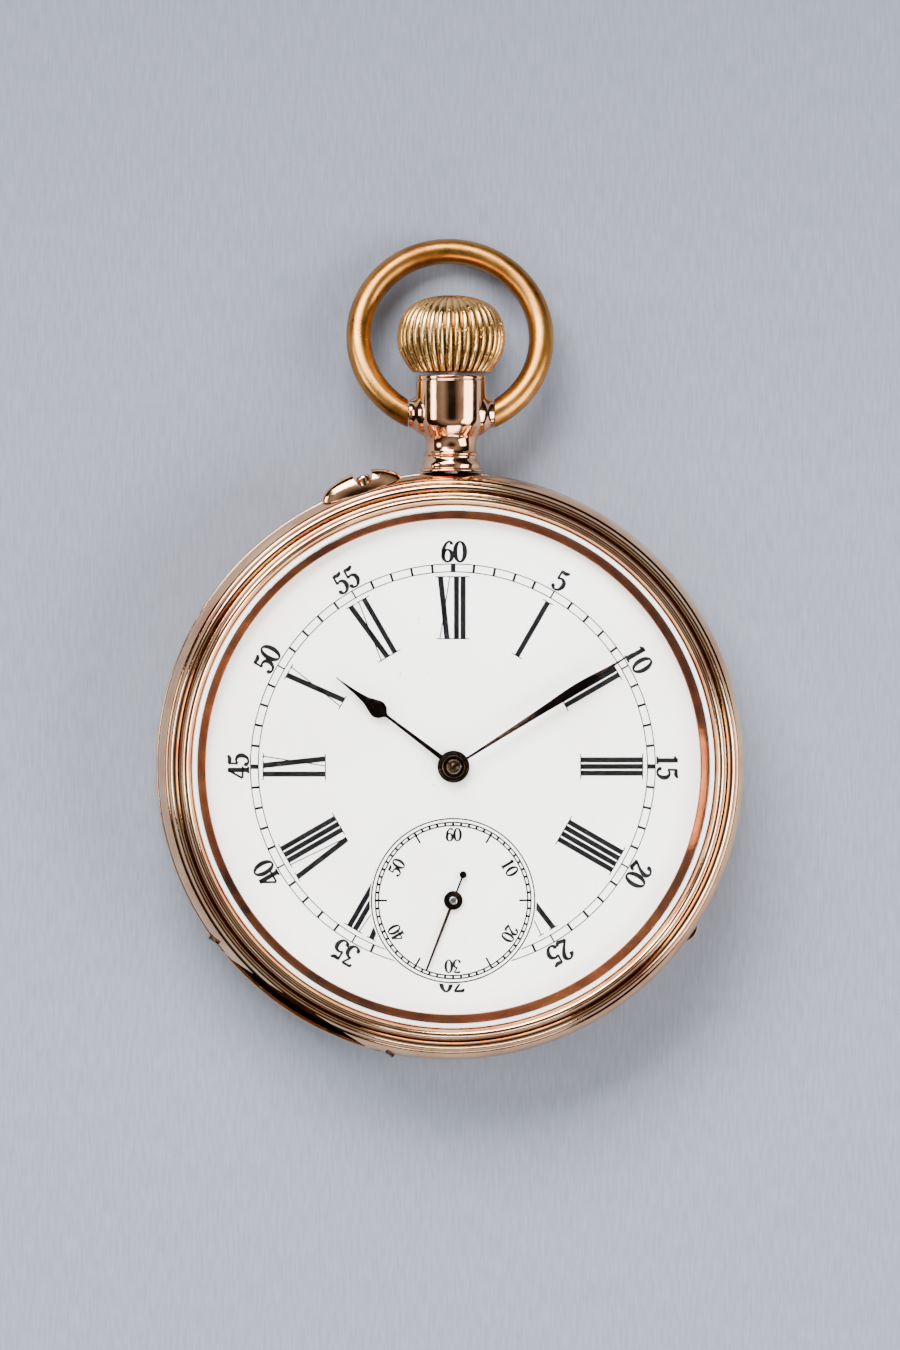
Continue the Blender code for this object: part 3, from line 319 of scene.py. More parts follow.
# ---- Bezel
# The ring that holds the glass, turned from rose gold with two half-round mouldings and a sloped inner
# wall down to the dial. It snaps over the band's shoulder, and is filed straight over the hinge.
def arch(middle, height, half, rise, start, end):
    """Points of a half-round moulding, from one angle to another in degrees, outside to inside."""
    points = []
    for i in range(15):
        angle = math.radians(start + (end - start) * i / 14.0)
        points.append((middle + half * math.cos(angle), height + rise * math.sin(angle)))
    return points


ring = spun("glass_bezel",
            [(20.73, 8.88), (20.8, 8.86), (21.35, 8.86), (21.35, 9.4), (22.38, 9.4), (22.38, 8.7),
             (23.62, 8.7)]
            + arch(23.43, 9.2, 0.49, 0.57, -38.0, 152.0)
            + [(22.9, 9.5)]
            + arch(22.48, 10.3, 0.4, 0.53, -28.0, 168.0)
            + [(22.05, 10.3), (22.04, 10.22), (21.62, 10.2), (21.56, 10.17),
               (21.52, 10.147), (20.84, 9.763), (20.8, 9.74), (20.73, 9.62)], steps=256)
work(ring, block("bezel_flat", (-6.0, -25.0, 8.0), (6.0, -23.72, 11.5), HINGE_TURN), "DIFFERENCE")
ring.data.materials.append(rose_gold)
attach(ring, "case")
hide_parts("bezel")


# ---- Glass
# The crystal, a low dome of clear ground and polished glass, sprung into the bezel's seat.
# It casts no shadow of its own, so that the dial under it is lit as through thin glass. The edge that sits
# in the bezel is ground, not polished, and shows as a thin whitish ring.
dome = [(r, 12.1 - 0.0012 * r ** 2 - 3.35e-6 * r ** 4)
        for r in (0.0, 4.0, 8.0, 11.0, 14.0, 16.5, 18.5, 20.0, 21.2)]
under = [(r, 11.08 - 0.00168 * r ** 2) for r in (21.9, 20.0, 17.0, 13.0, 9.0, 5.0, 0.0)]
glass = spun("crystal_dome", dome + [(21.6, 10.82), (21.9, 10.62)] + under, steps=160)
crystal_glass, tree, shader, place = finish_of("polished_watch_glass", {
    "Base Color": linear("FFFFFF"), "Transmission Weight": 1.0, "IOR": 1.5})
smudge = add_node(tree, "ShaderNodeTexNoise", {"Scale": 260.0, "Detail": 5.0}, {"Vector": (place, "Object")})
film = add_node(tree, "ShaderNodeMapRange", {"From Min": 0.5, "From Max": 0.8, "To Min": 0.0, "To Max": 0.03},
                {"Value": (smudge, "Fac")})
flat = add_node(tree, "ShaderNodeVectorMath", {"operation": "MULTIPLY", 1: (1000.0, 1000.0, 0.0)},
                {0: (place, "Object")})
reach = add_node(tree, "ShaderNodeVectorMath", {"operation": "LENGTH"}, {0: (flat, "Vector")})
ground = add_node(tree, "ShaderNodeMapRange", {"From Min": 21.5, "From Max": 21.56},
                  {"Value": (reach, "Value")})
frost = add_node(tree, "ShaderNodeMix", {"data_type": "FLOAT", 3: 0.45},
                 {0: (ground, "Result"), 2: (film, "Result")})
tree.links.new(frost.outputs[0], shader.inputs["Roughness"])
clear = add_node(tree, "ShaderNodeMapRange", {"To Min": 1.0, "To Max": 0.25}, {"Value": (ground, "Result")})
tree.links.new(clear.outputs["Result"], shader.inputs["Transmission Weight"])
glass.data.materials.append(crystal_glass)
glass.visible_shadow = False
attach(glass, "case")
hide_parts("crystal")


# ---- Pendant
# The neck that carries the crown and bow: a turned rose gold tube with a ball and a collar at the case,
# and a boss soldered to each side in which the bow's end turns.
bow_pivot = Vector(joints["bow_swing"]["pos_m"]) / MM
pendant_tube = spun("pendant_tube", rounded([
    (0.8, 24.9, 0.0), (2.74, 24.9, 0.05), (2.72, 25.05, 0.1), (2.42, 25.16, 0.05), (2.5, 25.5, 0.3),
    (2.2, 26.02, 0.15), (2.24, 26.16, 0.04), (2.38, 26.36, 0.12), (2.18, 26.6, 0.1), (2.07, 27.1, 0.3),
    (2.2, 27.7, 0.3),
    (3.0, 28.95, 0.45), (3.02, 32.3, 0.5), (3.03, 32.55, 0.05), (2.93, 32.6, 0.03), (3.03, 32.68, 0.04),
    (3.02, 32.98, 0.12), (1.6, 32.98, 0.1), (0.8, 32.5, 0.0)]), STEM, NORTH, 128)
for side in (-1.0, 1.0):
    outward = Vector((side, 0.0, 0.0))
    boss = spun("pendant_boss", rounded([
        (0.0, 2.1, 0.0), (2.0, 2.1, 0.0), (1.75, 2.75, 0.3), (1.28, 3.25, 0.25), (1.17, 3.6, 0.05),
        (0.0, 3.6, 0.0)]), bow_pivot, outward, 64)
    work(pendant_tube, boss, "UNION")
    peg_hole = bar("peg_hole", bow_pivot + outward * 1.9, bow_pivot + outward * 4.0, 0.43)
    work(pendant_tube, peg_hole, "DIFFERENCE")
pendant_tube.data.materials.append(rose_gold)
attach(pendant_tube, "case")
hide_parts("pendant")


# ---- Bow
# The ring by which the watch hangs: drawn round wire of a browner, lower gold, bent round and sprung into
# the pendant's bosses by a peg at each end. Handling has left it satin, with brown tarnish.
bow_gold = worn_metal("satin_bow_gold", ["7C4C20", "A46F33", "BC874A"], (0.26, 0.4), 0.3, 1500.0)[0]
tilt = Matrix.Rotation(math.radians(-16.5), 4, "X")
pivot = Matrix.Translation(bow_pivot * MM)
bpy.ops.object.select_all(action="DESELECT")
bpy.ops.mesh.primitive_torus_add(
    major_segments=160, minor_segments=40, major_radius=7.755 * MM, minor_radius=1.068 * MM)
bow = bpy.context.object
bow.name = "bow_wire"
bow.data.transform(pivot @ tilt @ Matrix.Translation((0.0, 6.81 * MM, 0.0)))
work(bow, block("bow_gap", (-3.68, 26.0, 2.0), (3.68, 33.2, 8.6)), "DIFFERENCE")
for side in (-1.0, 1.0):
    outward = Vector((side, 0.0, 0.0))
    work(bow, bar("bow_peg", bow_pivot + outward * 2.35, bow_pivot + outward * 4.3, 0.37), "UNION")
bow.data.materials.append(bow_gold)
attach(bow, "bow_ring")
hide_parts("bow")


# ---- Crown
# The fluted onion crown, pressed from yellower gold over a core and screwed to the winding stem.
# Its ribs are rubbed bright and pitted by use, and painted shade darkens the flutes, most of all below, at
# its foot.
crown_line = rounded([
    (0.64, 33.3, 0.0), (3.3, 33.3, 0.1), (3.75, 33.85, 0.3), (4.42, 35.0, 0.5), (4.61, 36.1, 0.6),
    (4.5, 37.3, 0.6),
    (4.05, 38.35, 0.6), (3.2, 39.15, 0.5), (2.0, 39.62, 0.5), (0.9, 39.8, 0.3), (0.0, 39.81, 0.0),
    (0.0, 36.85, 0.0), (0.64, 36.85, 0.0)])
RIBS = 36
onion = spun("onion_crown", crown_line, STEM, NORTH, 12 * RIBS)
for point in onion.data.vertices:
    across = Vector((point.co.x, 0.0, point.co.z - STEM.z * MM))
    radius = across.length / MM
    if radius < 0.9 or point.co.y < 33.4 * MM and radius < 3.0:
        continue
    angle = math.atan2(across.z, across.x)
    rib = abs(math.sin(RIBS / 2 * angle)) ** 0.55
    height = point.co.y / MM
    # The flutes run out towards the button at the end.
    depth = 0.34 * min(1.0, (radius - 0.9) / 2.2) * (0.55 + 0.45 * min(1.0, (39.8 - height) / 2.0))
    point.co -= across.normalized() * depth * (1.0 - rib) * MM
worn_gold, tree, shader, place, tint = worn_metal(
    "rubbed_crown_gold", ["B98745", "D6A662", "E8C489"], (0.16, 0.36), 0.2)
pits = add_node(tree, "ShaderNodeTexNoise", {"Scale": 2600.0, "Detail": 2.0}, {"Vector": (place, "Object")})
pitted = add_node(tree, "ShaderNodeMapRange", {"From Min": 0.3, "From Max": 0.42}, {"Value": (pits, "Fac")})
parts = add_node(tree, "ShaderNodeSeparateXYZ", {}, {"Vector": (place, "Object")})
lift = add_node(tree, "ShaderNodeMath", {"operation": "SUBTRACT", 1: STEM.z * MM}, {0: (parts, "Z")})
around = add_node(tree, "ShaderNodeMath", {"operation": "ARCTAN2"}, {0: (lift, "Value"), 1: (parts, "X")})
fan = add_node(tree, "ShaderNodeMath", {"operation": "MULTIPLY", 1: RIBS / 2}, {0: (around, "Value")})
wave = add_node(tree, "ShaderNodeMath", {"operation": "SINE"}, {0: (fan, "Value")})
crest = add_node(tree, "ShaderNodeMath", {"operation": "ABSOLUTE"}, {0: (wave, "Value")})
# Painted shade: the flutes between the ribs are darkened, nearly to black at their deepest.
painted_flute_shade = add_node(tree, "ShaderNodeValToRGB", {}, {"Fac": (crest, "Value")},
                 [(0.0, "120B06"), (0.28, "5A3C20"), (0.6, "FFFFFF"), (1.0, "FFFFFF")])
# Painted shade: the darkening of the flutes is full at the crown's foot by the pendant and weakens towards
# its end.
low = add_node(tree, "ShaderNodeMapRange",
               {"From Min": 0.0335, "From Max": 0.0392, "To Min": 1.0, "To Max": 0.35},
               {"Value": (parts, "Y")})
flute_shaded = add_node(tree, "ShaderNodeMix", {"data_type": "RGBA", "blend_type": "MULTIPLY"},
                 {0: (low, "Result"), 6: (tint, "Color"), 7: (painted_flute_shade, "Color")})
tree.links.new(flute_shaded.outputs[2], shader.inputs["Base Color"])
dents = add_node(tree, "ShaderNodeBump", {"Strength": 0.35, "Distance": 0.00006},
                 {"Height": (pitted, "Result")})
tree.links.new(dents.outputs["Normal"], shader.inputs["Normal"])
onion.data.materials.append(worn_gold)
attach(onion, "winding")
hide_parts("crown")


# ---- Setting pin and its guard
# Hands are set with this pin held in, near 11 o'clock. It is a turned gold stud. A mound of gold soldered to
# the band is notched round it, so that it isn't pressed by chance.
pin = spun("setting_stud", rounded([
    (0.0, 20.4, 0.0), (0.22, 20.4, 0.0), (0.22, 24.0, 0.0), (0.6, 24.0, 0.03), (0.6, 25.45, 0.08),
    (0.5, 25.65, 0.08), (0.0, 25.7, 0.0)]), UP * PUSH_RISE, push_way, 48)
pin.data.materials.append(rose_gold)
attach(pin, "push_pin")
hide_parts("push_piece")

bpy.ops.object.select_all(action="DESELECT")
bpy.ops.mesh.primitive_uv_sphere_add(segments=96, ring_count=48, radius=1.0)
guard = bpy.context.object
guard.name = "stud_guard"
for corner in guard.data.vertices:
    across, outward, rise = corner.co
    corner.co = Vector((3.5 * across - 0.4, 1.7 * outward + 24.35, 0.92 * rise + 7.4)) * MM
guard.data.transform(Matrix.Rotation(math.atan2(-push_way.x, push_way.y), 4, "Z"))
work(guard, bar("stud_notch", push_way * 25.6 + UP * 6.0, push_way * 25.6 + UP * 9.0, 0.82, 64), "DIFFERENCE")
stud_hole = bar("stud_hole", push_way * 23.0 + UP * PUSH_RISE, push_way * 27.0 + UP * PUSH_RISE, PUSH_BORE)
work(guard, stud_hole, "DIFFERENCE")
guard.data.materials.append(rose_gold)
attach(guard, "case")
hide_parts("push_piece_guard")


# ---- Movement
# The plates and bridges are brass, nickel plated and stoned matt; wheels are gilt; arbors, screws and
# springs are hardened steel, polished or blued. They are turned and cut pieces, and keep their exact solids.
nickel = worn_metal("stoned_nickel", ["A39D90", "B9B3A6", "C9C4B8"], (0.3, 0.42), 0.25)[0]
gilt = worn_metal("fire_gilt_brass", ["B58A42", "CFA456", "DDB772"], (0.26, 0.38), 0.2)[0]
steel = worn_metal("polished_steel", ["8E8E90", "A9A9AB", "BDBDBF"], (0.14, 0.26), 0.15)[0]
blued = worn_metal("blued_spring_steel", ["1B2A5C", "27397A", "33488C"], (0.2, 0.3), 0.1)[0]
surface_of = {"nickel_plate": nickel, "gilt_brass": gilt, "steel": steel, "blued_steel": blued,
              "rose_gold": rose_gold}
for part in frame["record"]["subparts"]:
    solid = frame["nodes"][part["node"]]
    if part["material_slot"] in surface_of and not solid.hide_render:
        solid.data.materials.clear()
        solid.data.materials.append(surface_of[part["material_slot"]])


# ---- Dial
# White vitreous enamel fired on a copper disc, dead smooth and glossy, with its figures fired in.
# Its edge slopes away under the bezel, and small holes pass the hands' pipes.
DIAL_BACK, DIAL_FRONT = (corner.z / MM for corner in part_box("dial"))
ENAMEL = DIAL_FRONT - 0.005
disc = spun("enamel_dial", rounded([
    (1.2, DIAL_BACK, 0.0), (21.25, DIAL_BACK, 0.05), (21.28, 8.5, 0.15), (20.9, ENAMEL, 0.3),
    (1.45, ENAMEL, 0.15), (1.2, 8.6, 0.1)]), steps=160)
fourth = Vector((0.0, joints["seconds_turn"]["pos_m"][1] / MM, 0.0))
work(disc, bar("seconds_hole", fourth + UP * 8.0, fourth + UP * 9.2, 0.4), "DIFFERENCE")
enamel, tree, shader, place = finish_of("white_vitreous_enamel", {
    "Roughness": 0.12, "IOR": 1.5, "Coat Weight": 0.4, "Coat Roughness": 0.04})
specks = add_node(tree, "ShaderNodeTexVoronoi", {"Scale": 310.0, "Randomness": 1.0},
                  {"Vector": (place, "Object")})
speck = add_node(tree, "ShaderNodeValToRGB", {}, {"Fac": (specks, "Distance")},
                 [(0.0, "8F8880"), (0.018, "B9B4AC"), (0.03, "F4F3F0")])
clouds = add_node(tree, "ShaderNodeTexNoise", {"Scale": 60.0, "Detail": 2.0}, {"Vector": (place, "Object")})
cream = add_node(tree, "ShaderNodeValToRGB", {}, {"Fac": (clouds, "Fac")},
                 [(0.35, "F1F0ED"), (0.7, "FFFFFF")])
body = add_node(tree, "ShaderNodeMix", {"data_type": "RGBA", "blend_type": "MULTIPLY", 0: 1.0},
                {6: (speck, "Color"), 7: (cream, "Color")})
tree.links.new(body.outputs[2], shader.inputs["Base Color"])
ripple = add_node(tree, "ShaderNodeBump", {"Strength": 0.05, "Distance": 0.0001}, {"Height": (clouds, "Fac")})
tree.links.new(ripple.outputs["Normal"], shader.inputs["Normal"])
disc.data.materials.append(enamel)
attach(disc, "case")
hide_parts("dial")


# ---- Dial printing
# Black enamel put on with an engraved pad and fired in, so it stands a few hundredths of a millimetre
# proud: a minute track, hour figures, minute figures, and a small seconds circle with its own figures.
PRINT_LOW = DIAL_FRONT - 0.015
PRINT_HIGH = DIAL_FRONT + 0.012
black_enamel, tree, shader, place = finish_of("fired_black_enamel", {"Roughness": 0.22, "IOR": 1.5})
thin = add_node(tree, "ShaderNodeTexNoise", {"Scale": 5000.0, "Detail": 3.0}, {"Vector": (place, "Object")})
ink = add_node(tree, "ShaderNodeValToRGB", {}, {"Fac": (thin, "Fac")},
               [(0.3, "060607"), (0.6, "0C0C0D"), (0.8, "1A1A1C")])
tree.links.new(ink.outputs["Color"], shader.inputs["Base Color"])


def join(pieces, name):
    """Joins pieces of print in one object."""
    bpy.ops.object.select_all(action="DESELECT")
    for piece in pieces:
        piece.select_set(True)
    bpy.context.view_layer.objects.active = pieces[0]
    bpy.ops.object.join()
    whole = bpy.context.object
    whole.name = name
    return whole


def hairline(radius, width, centre=AXIS):
    """A printed circle."""
    inner, outer = radius - width / 2, radius + width / 2
    line = [(inner, PRINT_LOW), (outer, PRINT_LOW), (outer, PRINT_HIGH), (inner, PRINT_HIGH)]
    return spun("hairline", line, centre, UP, 240)


def flat_shape(points):
    """A printed shape, from its outline in millimetres."""
    bpy.ops.object.select_all(action="DESELECT")
    bpy.ops.mesh.primitive_circle_add(vertices=len(points), radius=MM, fill_type="NGON")
    shape = bpy.context.object
    for corner, (x, y) in zip(shape.data.vertices, points):
        corner.co = Vector((x, y, PRINT_LOW)) * MM
    bpy.ops.object.mode_set(mode="EDIT")
    bpy.ops.mesh.select_all(action="SELECT")
    bpy.ops.mesh.quads_convert_to_tris()
    bpy.ops.mesh.extrude_region_move(TRANSFORM_OT_translate={"value": UP * (PRINT_HIGH - PRINT_LOW) * MM})
    bpy.ops.mesh.select_all(action="SELECT")
    bpy.ops.mesh.normals_make_consistent(inside=False)
    bpy.ops.object.mode_set(mode="OBJECT")
    return shape


def flat_ring(inner, outer):
    """A printed ring between two loops of points."""
    loops = []
    for points in (inner, outer):
        bpy.ops.object.select_all(action="DESELECT")
        bpy.ops.mesh.primitive_circle_add(vertices=len(points), radius=MM)
        loops.append(bpy.context.object)
        for corner, (x, y) in zip(loops[-1].data.vertices, points):
            corner.co = Vector((x, y, PRINT_LOW)) * MM
    shape = join(loops, "ring")
    bpy.ops.object.mode_set(mode="EDIT")
    bpy.ops.mesh.select_all(action="SELECT")
    bpy.ops.mesh.bridge_edge_loops()
    bpy.ops.mesh.select_all(action="SELECT")
    bpy.ops.mesh.extrude_region_move(TRANSFORM_OT_translate={"value": UP * (PRINT_HIGH - PRINT_LOW) * MM})
    bpy.ops.mesh.select_all(action="SELECT")
    bpy.ops.mesh.normals_make_consistent(inside=False)
    bpy.ops.object.mode_set(mode="OBJECT")
    return shape


def copy_to(shape, matrix):
    """A copy of a printed shape with its own mesh, put in place."""
    twin = shape.copy()
    twin.data = shape.data.copy()
    twin.data.transform(matrix)
    bpy.context.scene.collection.objects.link(twin)
    return twin


def round_the_dial(degrees, centre=AXIS):
    """Moves a shape drawn at 12 o'clock round to that many degrees clockwise, about a centre."""
    return Matrix.Translation(centre * MM) @ Matrix.Rotation(-math.radians(degrees), 4, "Z")


def tick(r0, r1, width):
    return flat_shape([(-width / 2, r0), (width / 2, r0), (width / 2, r1), (-width / 2, r1)])


def spaced(shape, angles, centre=AXIS):
    """Copies of one shape round the dial; the shape itself is used up."""
    copies = [copy_to(shape, round_the_dial(angle, centre)) for angle in angles]
    bpy.data.objects.remove(shape)
    return copies


def print_piece(pieces, name):
    whole = join(pieces, name)
    whole.data.materials.append(black_enamel)
    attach(whole, "case")


# The minute track is two hairline circles with a tick across for each minute; the quarters are heavier.
# The track stops short of the small seconds circle at the foot.
SECONDS_FIELD = 7.0


def clear_of_seconds(degrees):
    return (clock_place(degrees, 16.6) - fourth).length > SECONDS_FIELD + 0.05


def cut_by_seconds(stroke):
    """The small seconds circle interrupts what is printed round it."""
    field = bar("seconds_field", fourth + UP * 8.0, fourth + UP * 9.5, SECONDS_FIELD, 128)
    work(stroke, field, "DIFFERENCE")


track_lines = [hairline(16.31, 0.09), hairline(16.96, 0.09)]
for line in track_lines:
    cut_by_seconds(line)
print_piece(
    track_lines
    + spaced(tick(16.31, 16.96, 0.21), [6 * i for i in range(60) if i % 5 and clear_of_seconds(6 * i)])
    + spaced(tick(16.28, 17.0, 0.14), [30 * i for i in range(12) if i % 3])
    + spaced(tick(16.31, 16.96, 0.4), [0, 90, 270]), "minute_track")


# Roman figures with their feet to the middle. A figure is drawn upright at 12 o'clock, between these radii;
# thick strokes are 0.42 mm wide, and hairlines close them at the top and foot.
FOOT, TOP = 10.72, 15.9


def slant(foot, top, width):
    half = width / 2
    return flat_shape([(foot - half, FOOT), (foot + half, FOOT), (top + half, TOP), (top - half, TOP)])


def serif(middle, half, at):
    return flat_shape([(middle - half, at - 0.045), (middle + half, at - 0.045), (middle + half, at + 0.045),
                       (middle - half, at + 0.045)])


def letter_i(x):
    return [slant(x, x, 0.44)]


def bars(first, count):
    """That many I's, 0.56 mm apart, under shared serifs."""
    strokes = [stroke for i in range(count) for stroke in letter_i(first + 0.56 * i)]
    middle = first + 0.28 * (count - 1)
    half = 0.28 * (count - 1) + 0.52
    return strokes + [serif(middle, half, FOOT), serif(middle, half, TOP)]


def letter_v(x):
    return [slant(x + 0.16, x - 0.52, 0.46), slant(x + 0.28, x + 0.66, 0.09), serif(x - 0.52, 0.42, TOP),
            serif(x + 0.66, 0.26, TOP)]


def letter_x(x):
    return [slant(x + 0.24, x - 0.32, 0.46), slant(x - 0.36, x + 0.46, 0.09), serif(x - 0.32, 0.42, TOP),
            serif(x + 0.46, 0.26, TOP), serif(x - 0.36, 0.28, FOOT), serif(x + 0.24, 0.42, FOOT)]


romans = {
    1: letter_i(0.0) + [serif(0.0, 0.5, FOOT), serif(0.0, 0.5, TOP)],
    2: bars(-0.28, 2),
    3: bars(-0.56, 3),
    4: bars(-0.84, 4),
    5: letter_v(0.0),
    7: letter_v(-0.75) + bars(0.3, 2),
    8: letter_v(-0.95) + bars(0.1, 3),
    9: bars(-0.62, 1) + letter_x(0.42),
    10: letter_x(0.0),
    11: letter_x(-0.42) + bars(0.55, 1),
    12: letter_x(-0.75) + bars(0.28, 2),
}
hours = []
for hour, strokes in romans.items():
    for stroke in strokes:
        stroke.data.transform(round_the_dial(30 * hour))
        if hour in (5, 7):
            cut_by_seconds(stroke)
    hours += strokes
print_piece(hours, "hour_figures")


# Arabic figures in a thick-and-thin hand. Each is drawn as pen strokes of (x, y, width), in a box 1 high.
def through(a, b, c, d, t):
    """The value at t between b and c of a smooth curve through four values."""
    bend = (2 * a - 5 * b + 4 * c - d) * t * t
    return 0.5 * (2 * b + (c - a) * t + bend + (3 * b - a - 3 * c + d) * t ** 3)


def pen(points, closed=False):
    """A pen stroke: a smooth ribbon through points whose width swells and thins."""
    count = len(points)
    spans = count if closed else count - 1
    smooth = []
    for i in range(spans):
        if closed:
            near = [points[(i + k) % count] for k in (-1, 0, 1, 2)]
        else:
            near = [points[min(max(i + k, 0), count - 1)] for k in (-1, 0, 1, 2)]
        smooth += [[through(*values, step / 5.0) for values in zip(*near)] for step in range(5)]
    if not closed:
        smooth.append(list(points[-1]))
    left, right = [], []
    for i, (x, y, width) in enumerate(smooth):
        ahead = smooth[(i + 1) % len(smooth)] if closed else smooth[min(i + 1, len(smooth) - 1)]
        behind = smooth[i - 1] if closed or i else smooth[0]
        # Ink spreads a little past the pen's width.
        half = 1.15 * (0.9 * width + 0.06) / 2
        way = Vector((ahead[0] - behind[0], ahead[1] - behind[1])).normalized() * half
        left.append((x - way.y, y + way.x))
        right.append((x + way.y, y - way.x))
    if closed:
        return [flat_ring(left, right)]
    return [flat_shape(left + right[::-1])]


def ring_stroke(x, y, half_wide, half_high, thick, thin_part):
    points = []
    for i in range(12):
        angle = math.radians(30 * i)
        width = thin_part + (thick - thin_part) * abs(math.cos(angle)) ** 1.4
        points.append((x + half_wide * math.cos(angle), y + half_high * math.sin(angle), width))
    return pen(points, True)


def draw_digit(digit):
    if digit == 0:
        return ring_stroke(0.27, 0.5, 0.21, 0.475, 0.125, 0.03)
    if digit == 1:
        return pen([(0.25, 0.0, 0.125), (0.25, 1.0, 0.125)]) \
            + pen([(0.08, 0.02, 0.035), (0.42, 0.02, 0.035)]) \
            + pen([(0.06, 0.84, 0.03), (0.16, 0.88, 0.05), (0.25, 0.98, 0.05)])
    if digit == 2:
        return pen([(0.1, 0.7, 0.09), (0.1, 0.8, 0.12), (0.17, 0.94, 0.05), (0.3, 0.98, 0.05),
                    (0.42, 0.87, 0.11), (0.42, 0.7, 0.12), (0.3, 0.42, 0.07), (0.05, 0.07, 0.03)]) \
            + pen([(0.05, 0.05, 0.04), (0.15, 0.09, 0.1), (0.3, 0.06, 0.12), (0.42, 0.05, 0.1),
                   (0.49, 0.2, 0.03)])
    if digit == 3:
        return pen([(0.07, 0.84, 0.03), (0.09, 0.95, 0.07), (0.25, 0.96, 0.07), (0.45, 0.97, 0.04)]) \
            + pen([(0.45, 0.97, 0.03), (0.22, 0.6, 0.03)]) \
            + pen([(0.2, 0.59, 0.03), (0.34, 0.58, 0.06), (0.45, 0.44, 0.11), (0.45, 0.22, 0.12),
                   (0.33, 0.04, 0.06), (0.16, 0.03, 0.04), (0.07, 0.14, 0.11), (0.1, 0.24, 0.08)])
    if digit == 4:
        return pen([(0.37, 0.0, 0.125), (0.37, 1.0, 0.125)]) + pen([(0.36, 0.98, 0.03), (0.02, 0.3, 0.035)]) \
            + pen([(0.02, 0.29, 0.035), (0.53, 0.29, 0.035)]) \
            + pen([(0.22, 0.02, 0.035), (0.52, 0.02, 0.035)])
    if digit == 5:
        return pen([(0.12, 0.97, 0.03), (0.22, 0.91, 0.11), (0.34, 0.91, 0.12), (0.47, 1.0, 0.03)]) \
            + pen([(0.12, 0.97, 0.03), (0.11, 0.52, 0.03)]) \
            + pen([(0.11, 0.52, 0.03), (0.26, 0.6, 0.05), (0.42, 0.5, 0.11), (0.45, 0.28, 0.12),
                   (0.34, 0.06, 0.06), (0.17, 0.02, 0.04), (0.07, 0.12, 0.1), (0.1, 0.22, 0.07)])
    return ring_stroke(0.27, 0.31, 0.19, 0.285, 0.11, 0.03) \
        + pen([(0.09, 0.3, 0.1), (0.1, 0.6, 0.1), (0.2, 0.87, 0.05), (0.33, 0.98, 0.04), (0.43, 0.93, 0.07),
               (0.43, 0.83, 0.1)])


digits = {digit: draw_digit(digit) for digit in range(7)}


def number(value, height, radius, degrees, centre=AXIS):
    """A number centred on a radius with its feet to the centre."""
    text = str(value)
    pitch = 0.6 * height
    size = Matrix.Diagonal((height * 1.12, height, 1.0, 1.0))
    pieces = []
    for i, letter in enumerate(text):
        shift = (i - len(text) / 2.0) * pitch + 0.03 * height
        place_at = Matrix.Translation(Vector((shift, radius - height / 2, 0.0)) * MM)
        for stroke in digits[int(letter)]:
            pieces.append(copy_to(stroke, round_the_dial(degrees, centre) @ place_at @ size))
    return pieces


MINUTE_FIGURE, MINUTE_RING = 1.75, 17.98
thirty = number(30, MINUTE_FIGURE, MINUTE_RING, 180)
for stroke in thirty:
    cut_by_seconds(stroke)
minutes = []
for i in (0, 1, 2, 3, 4, 5, 7, 8, 9, 10, 11):
    minutes += number(5 * i or 60, MINUTE_FIGURE, MINUTE_RING, 30 * i)
print_piece(minutes + thirty, "minute_figures")

# The seconds circle: two hairlines with sixty fine ticks between, a third line outside, and longer ticks
# inwards between its figures.
print_piece(
    [hairline(6.26, 0.12, fourth), hairline(6.53, 0.12, fourth), hairline(6.85, 0.12, fourth)]
    + spaced(tick(6.26, 6.53, 0.2), [6 * i for i in range(60)], fourth)
    + spaced(tick(5.53, 6.4, 0.17), [30 + 60 * i for i in range(6)], fourth), "seconds_track")
small_figures = [piece for i in range(6) for piece in number(10 * i or 60, 1.1, 5.5, 60 * i, fourth)]
print_piece(small_figures, "seconds_figures")
for strokes in digits.values():
    for stroke in strokes:
        bpy.data.objects.remove(stroke)


# ---- Hands
# Hour and minute hands of the pear pattern, punched from steel sheet, domed and blued, and long since
# tarnished brown. Each is pressed on its pipe, and the domed end of the centre arbor shows in the middle.
hand_steel = worn_metal(
    "tarnished_blued_steel", ["0B0807", "1B130E", "3A2C20"], (0.18, 0.34), 0.35, 2200.0)[0]


def smooth_half(stations):
    """More stations of (distance, half width) along a hand, on a smooth curve."""
    line = []
    for i in range(len(stations) - 1):
        near = [stations[min(max(i + k, 0), len(stations) - 1)] for k in (-1, 0, 1, 2)]
        for step in range(5):
            along = near[1][0] + (near[2][0] - near[1][0]) * step / 5.0
            line.append((along, max(through(*[half for _, half in near], step / 5.0), 0.035)))
    line.append(stations[-1])
    return line


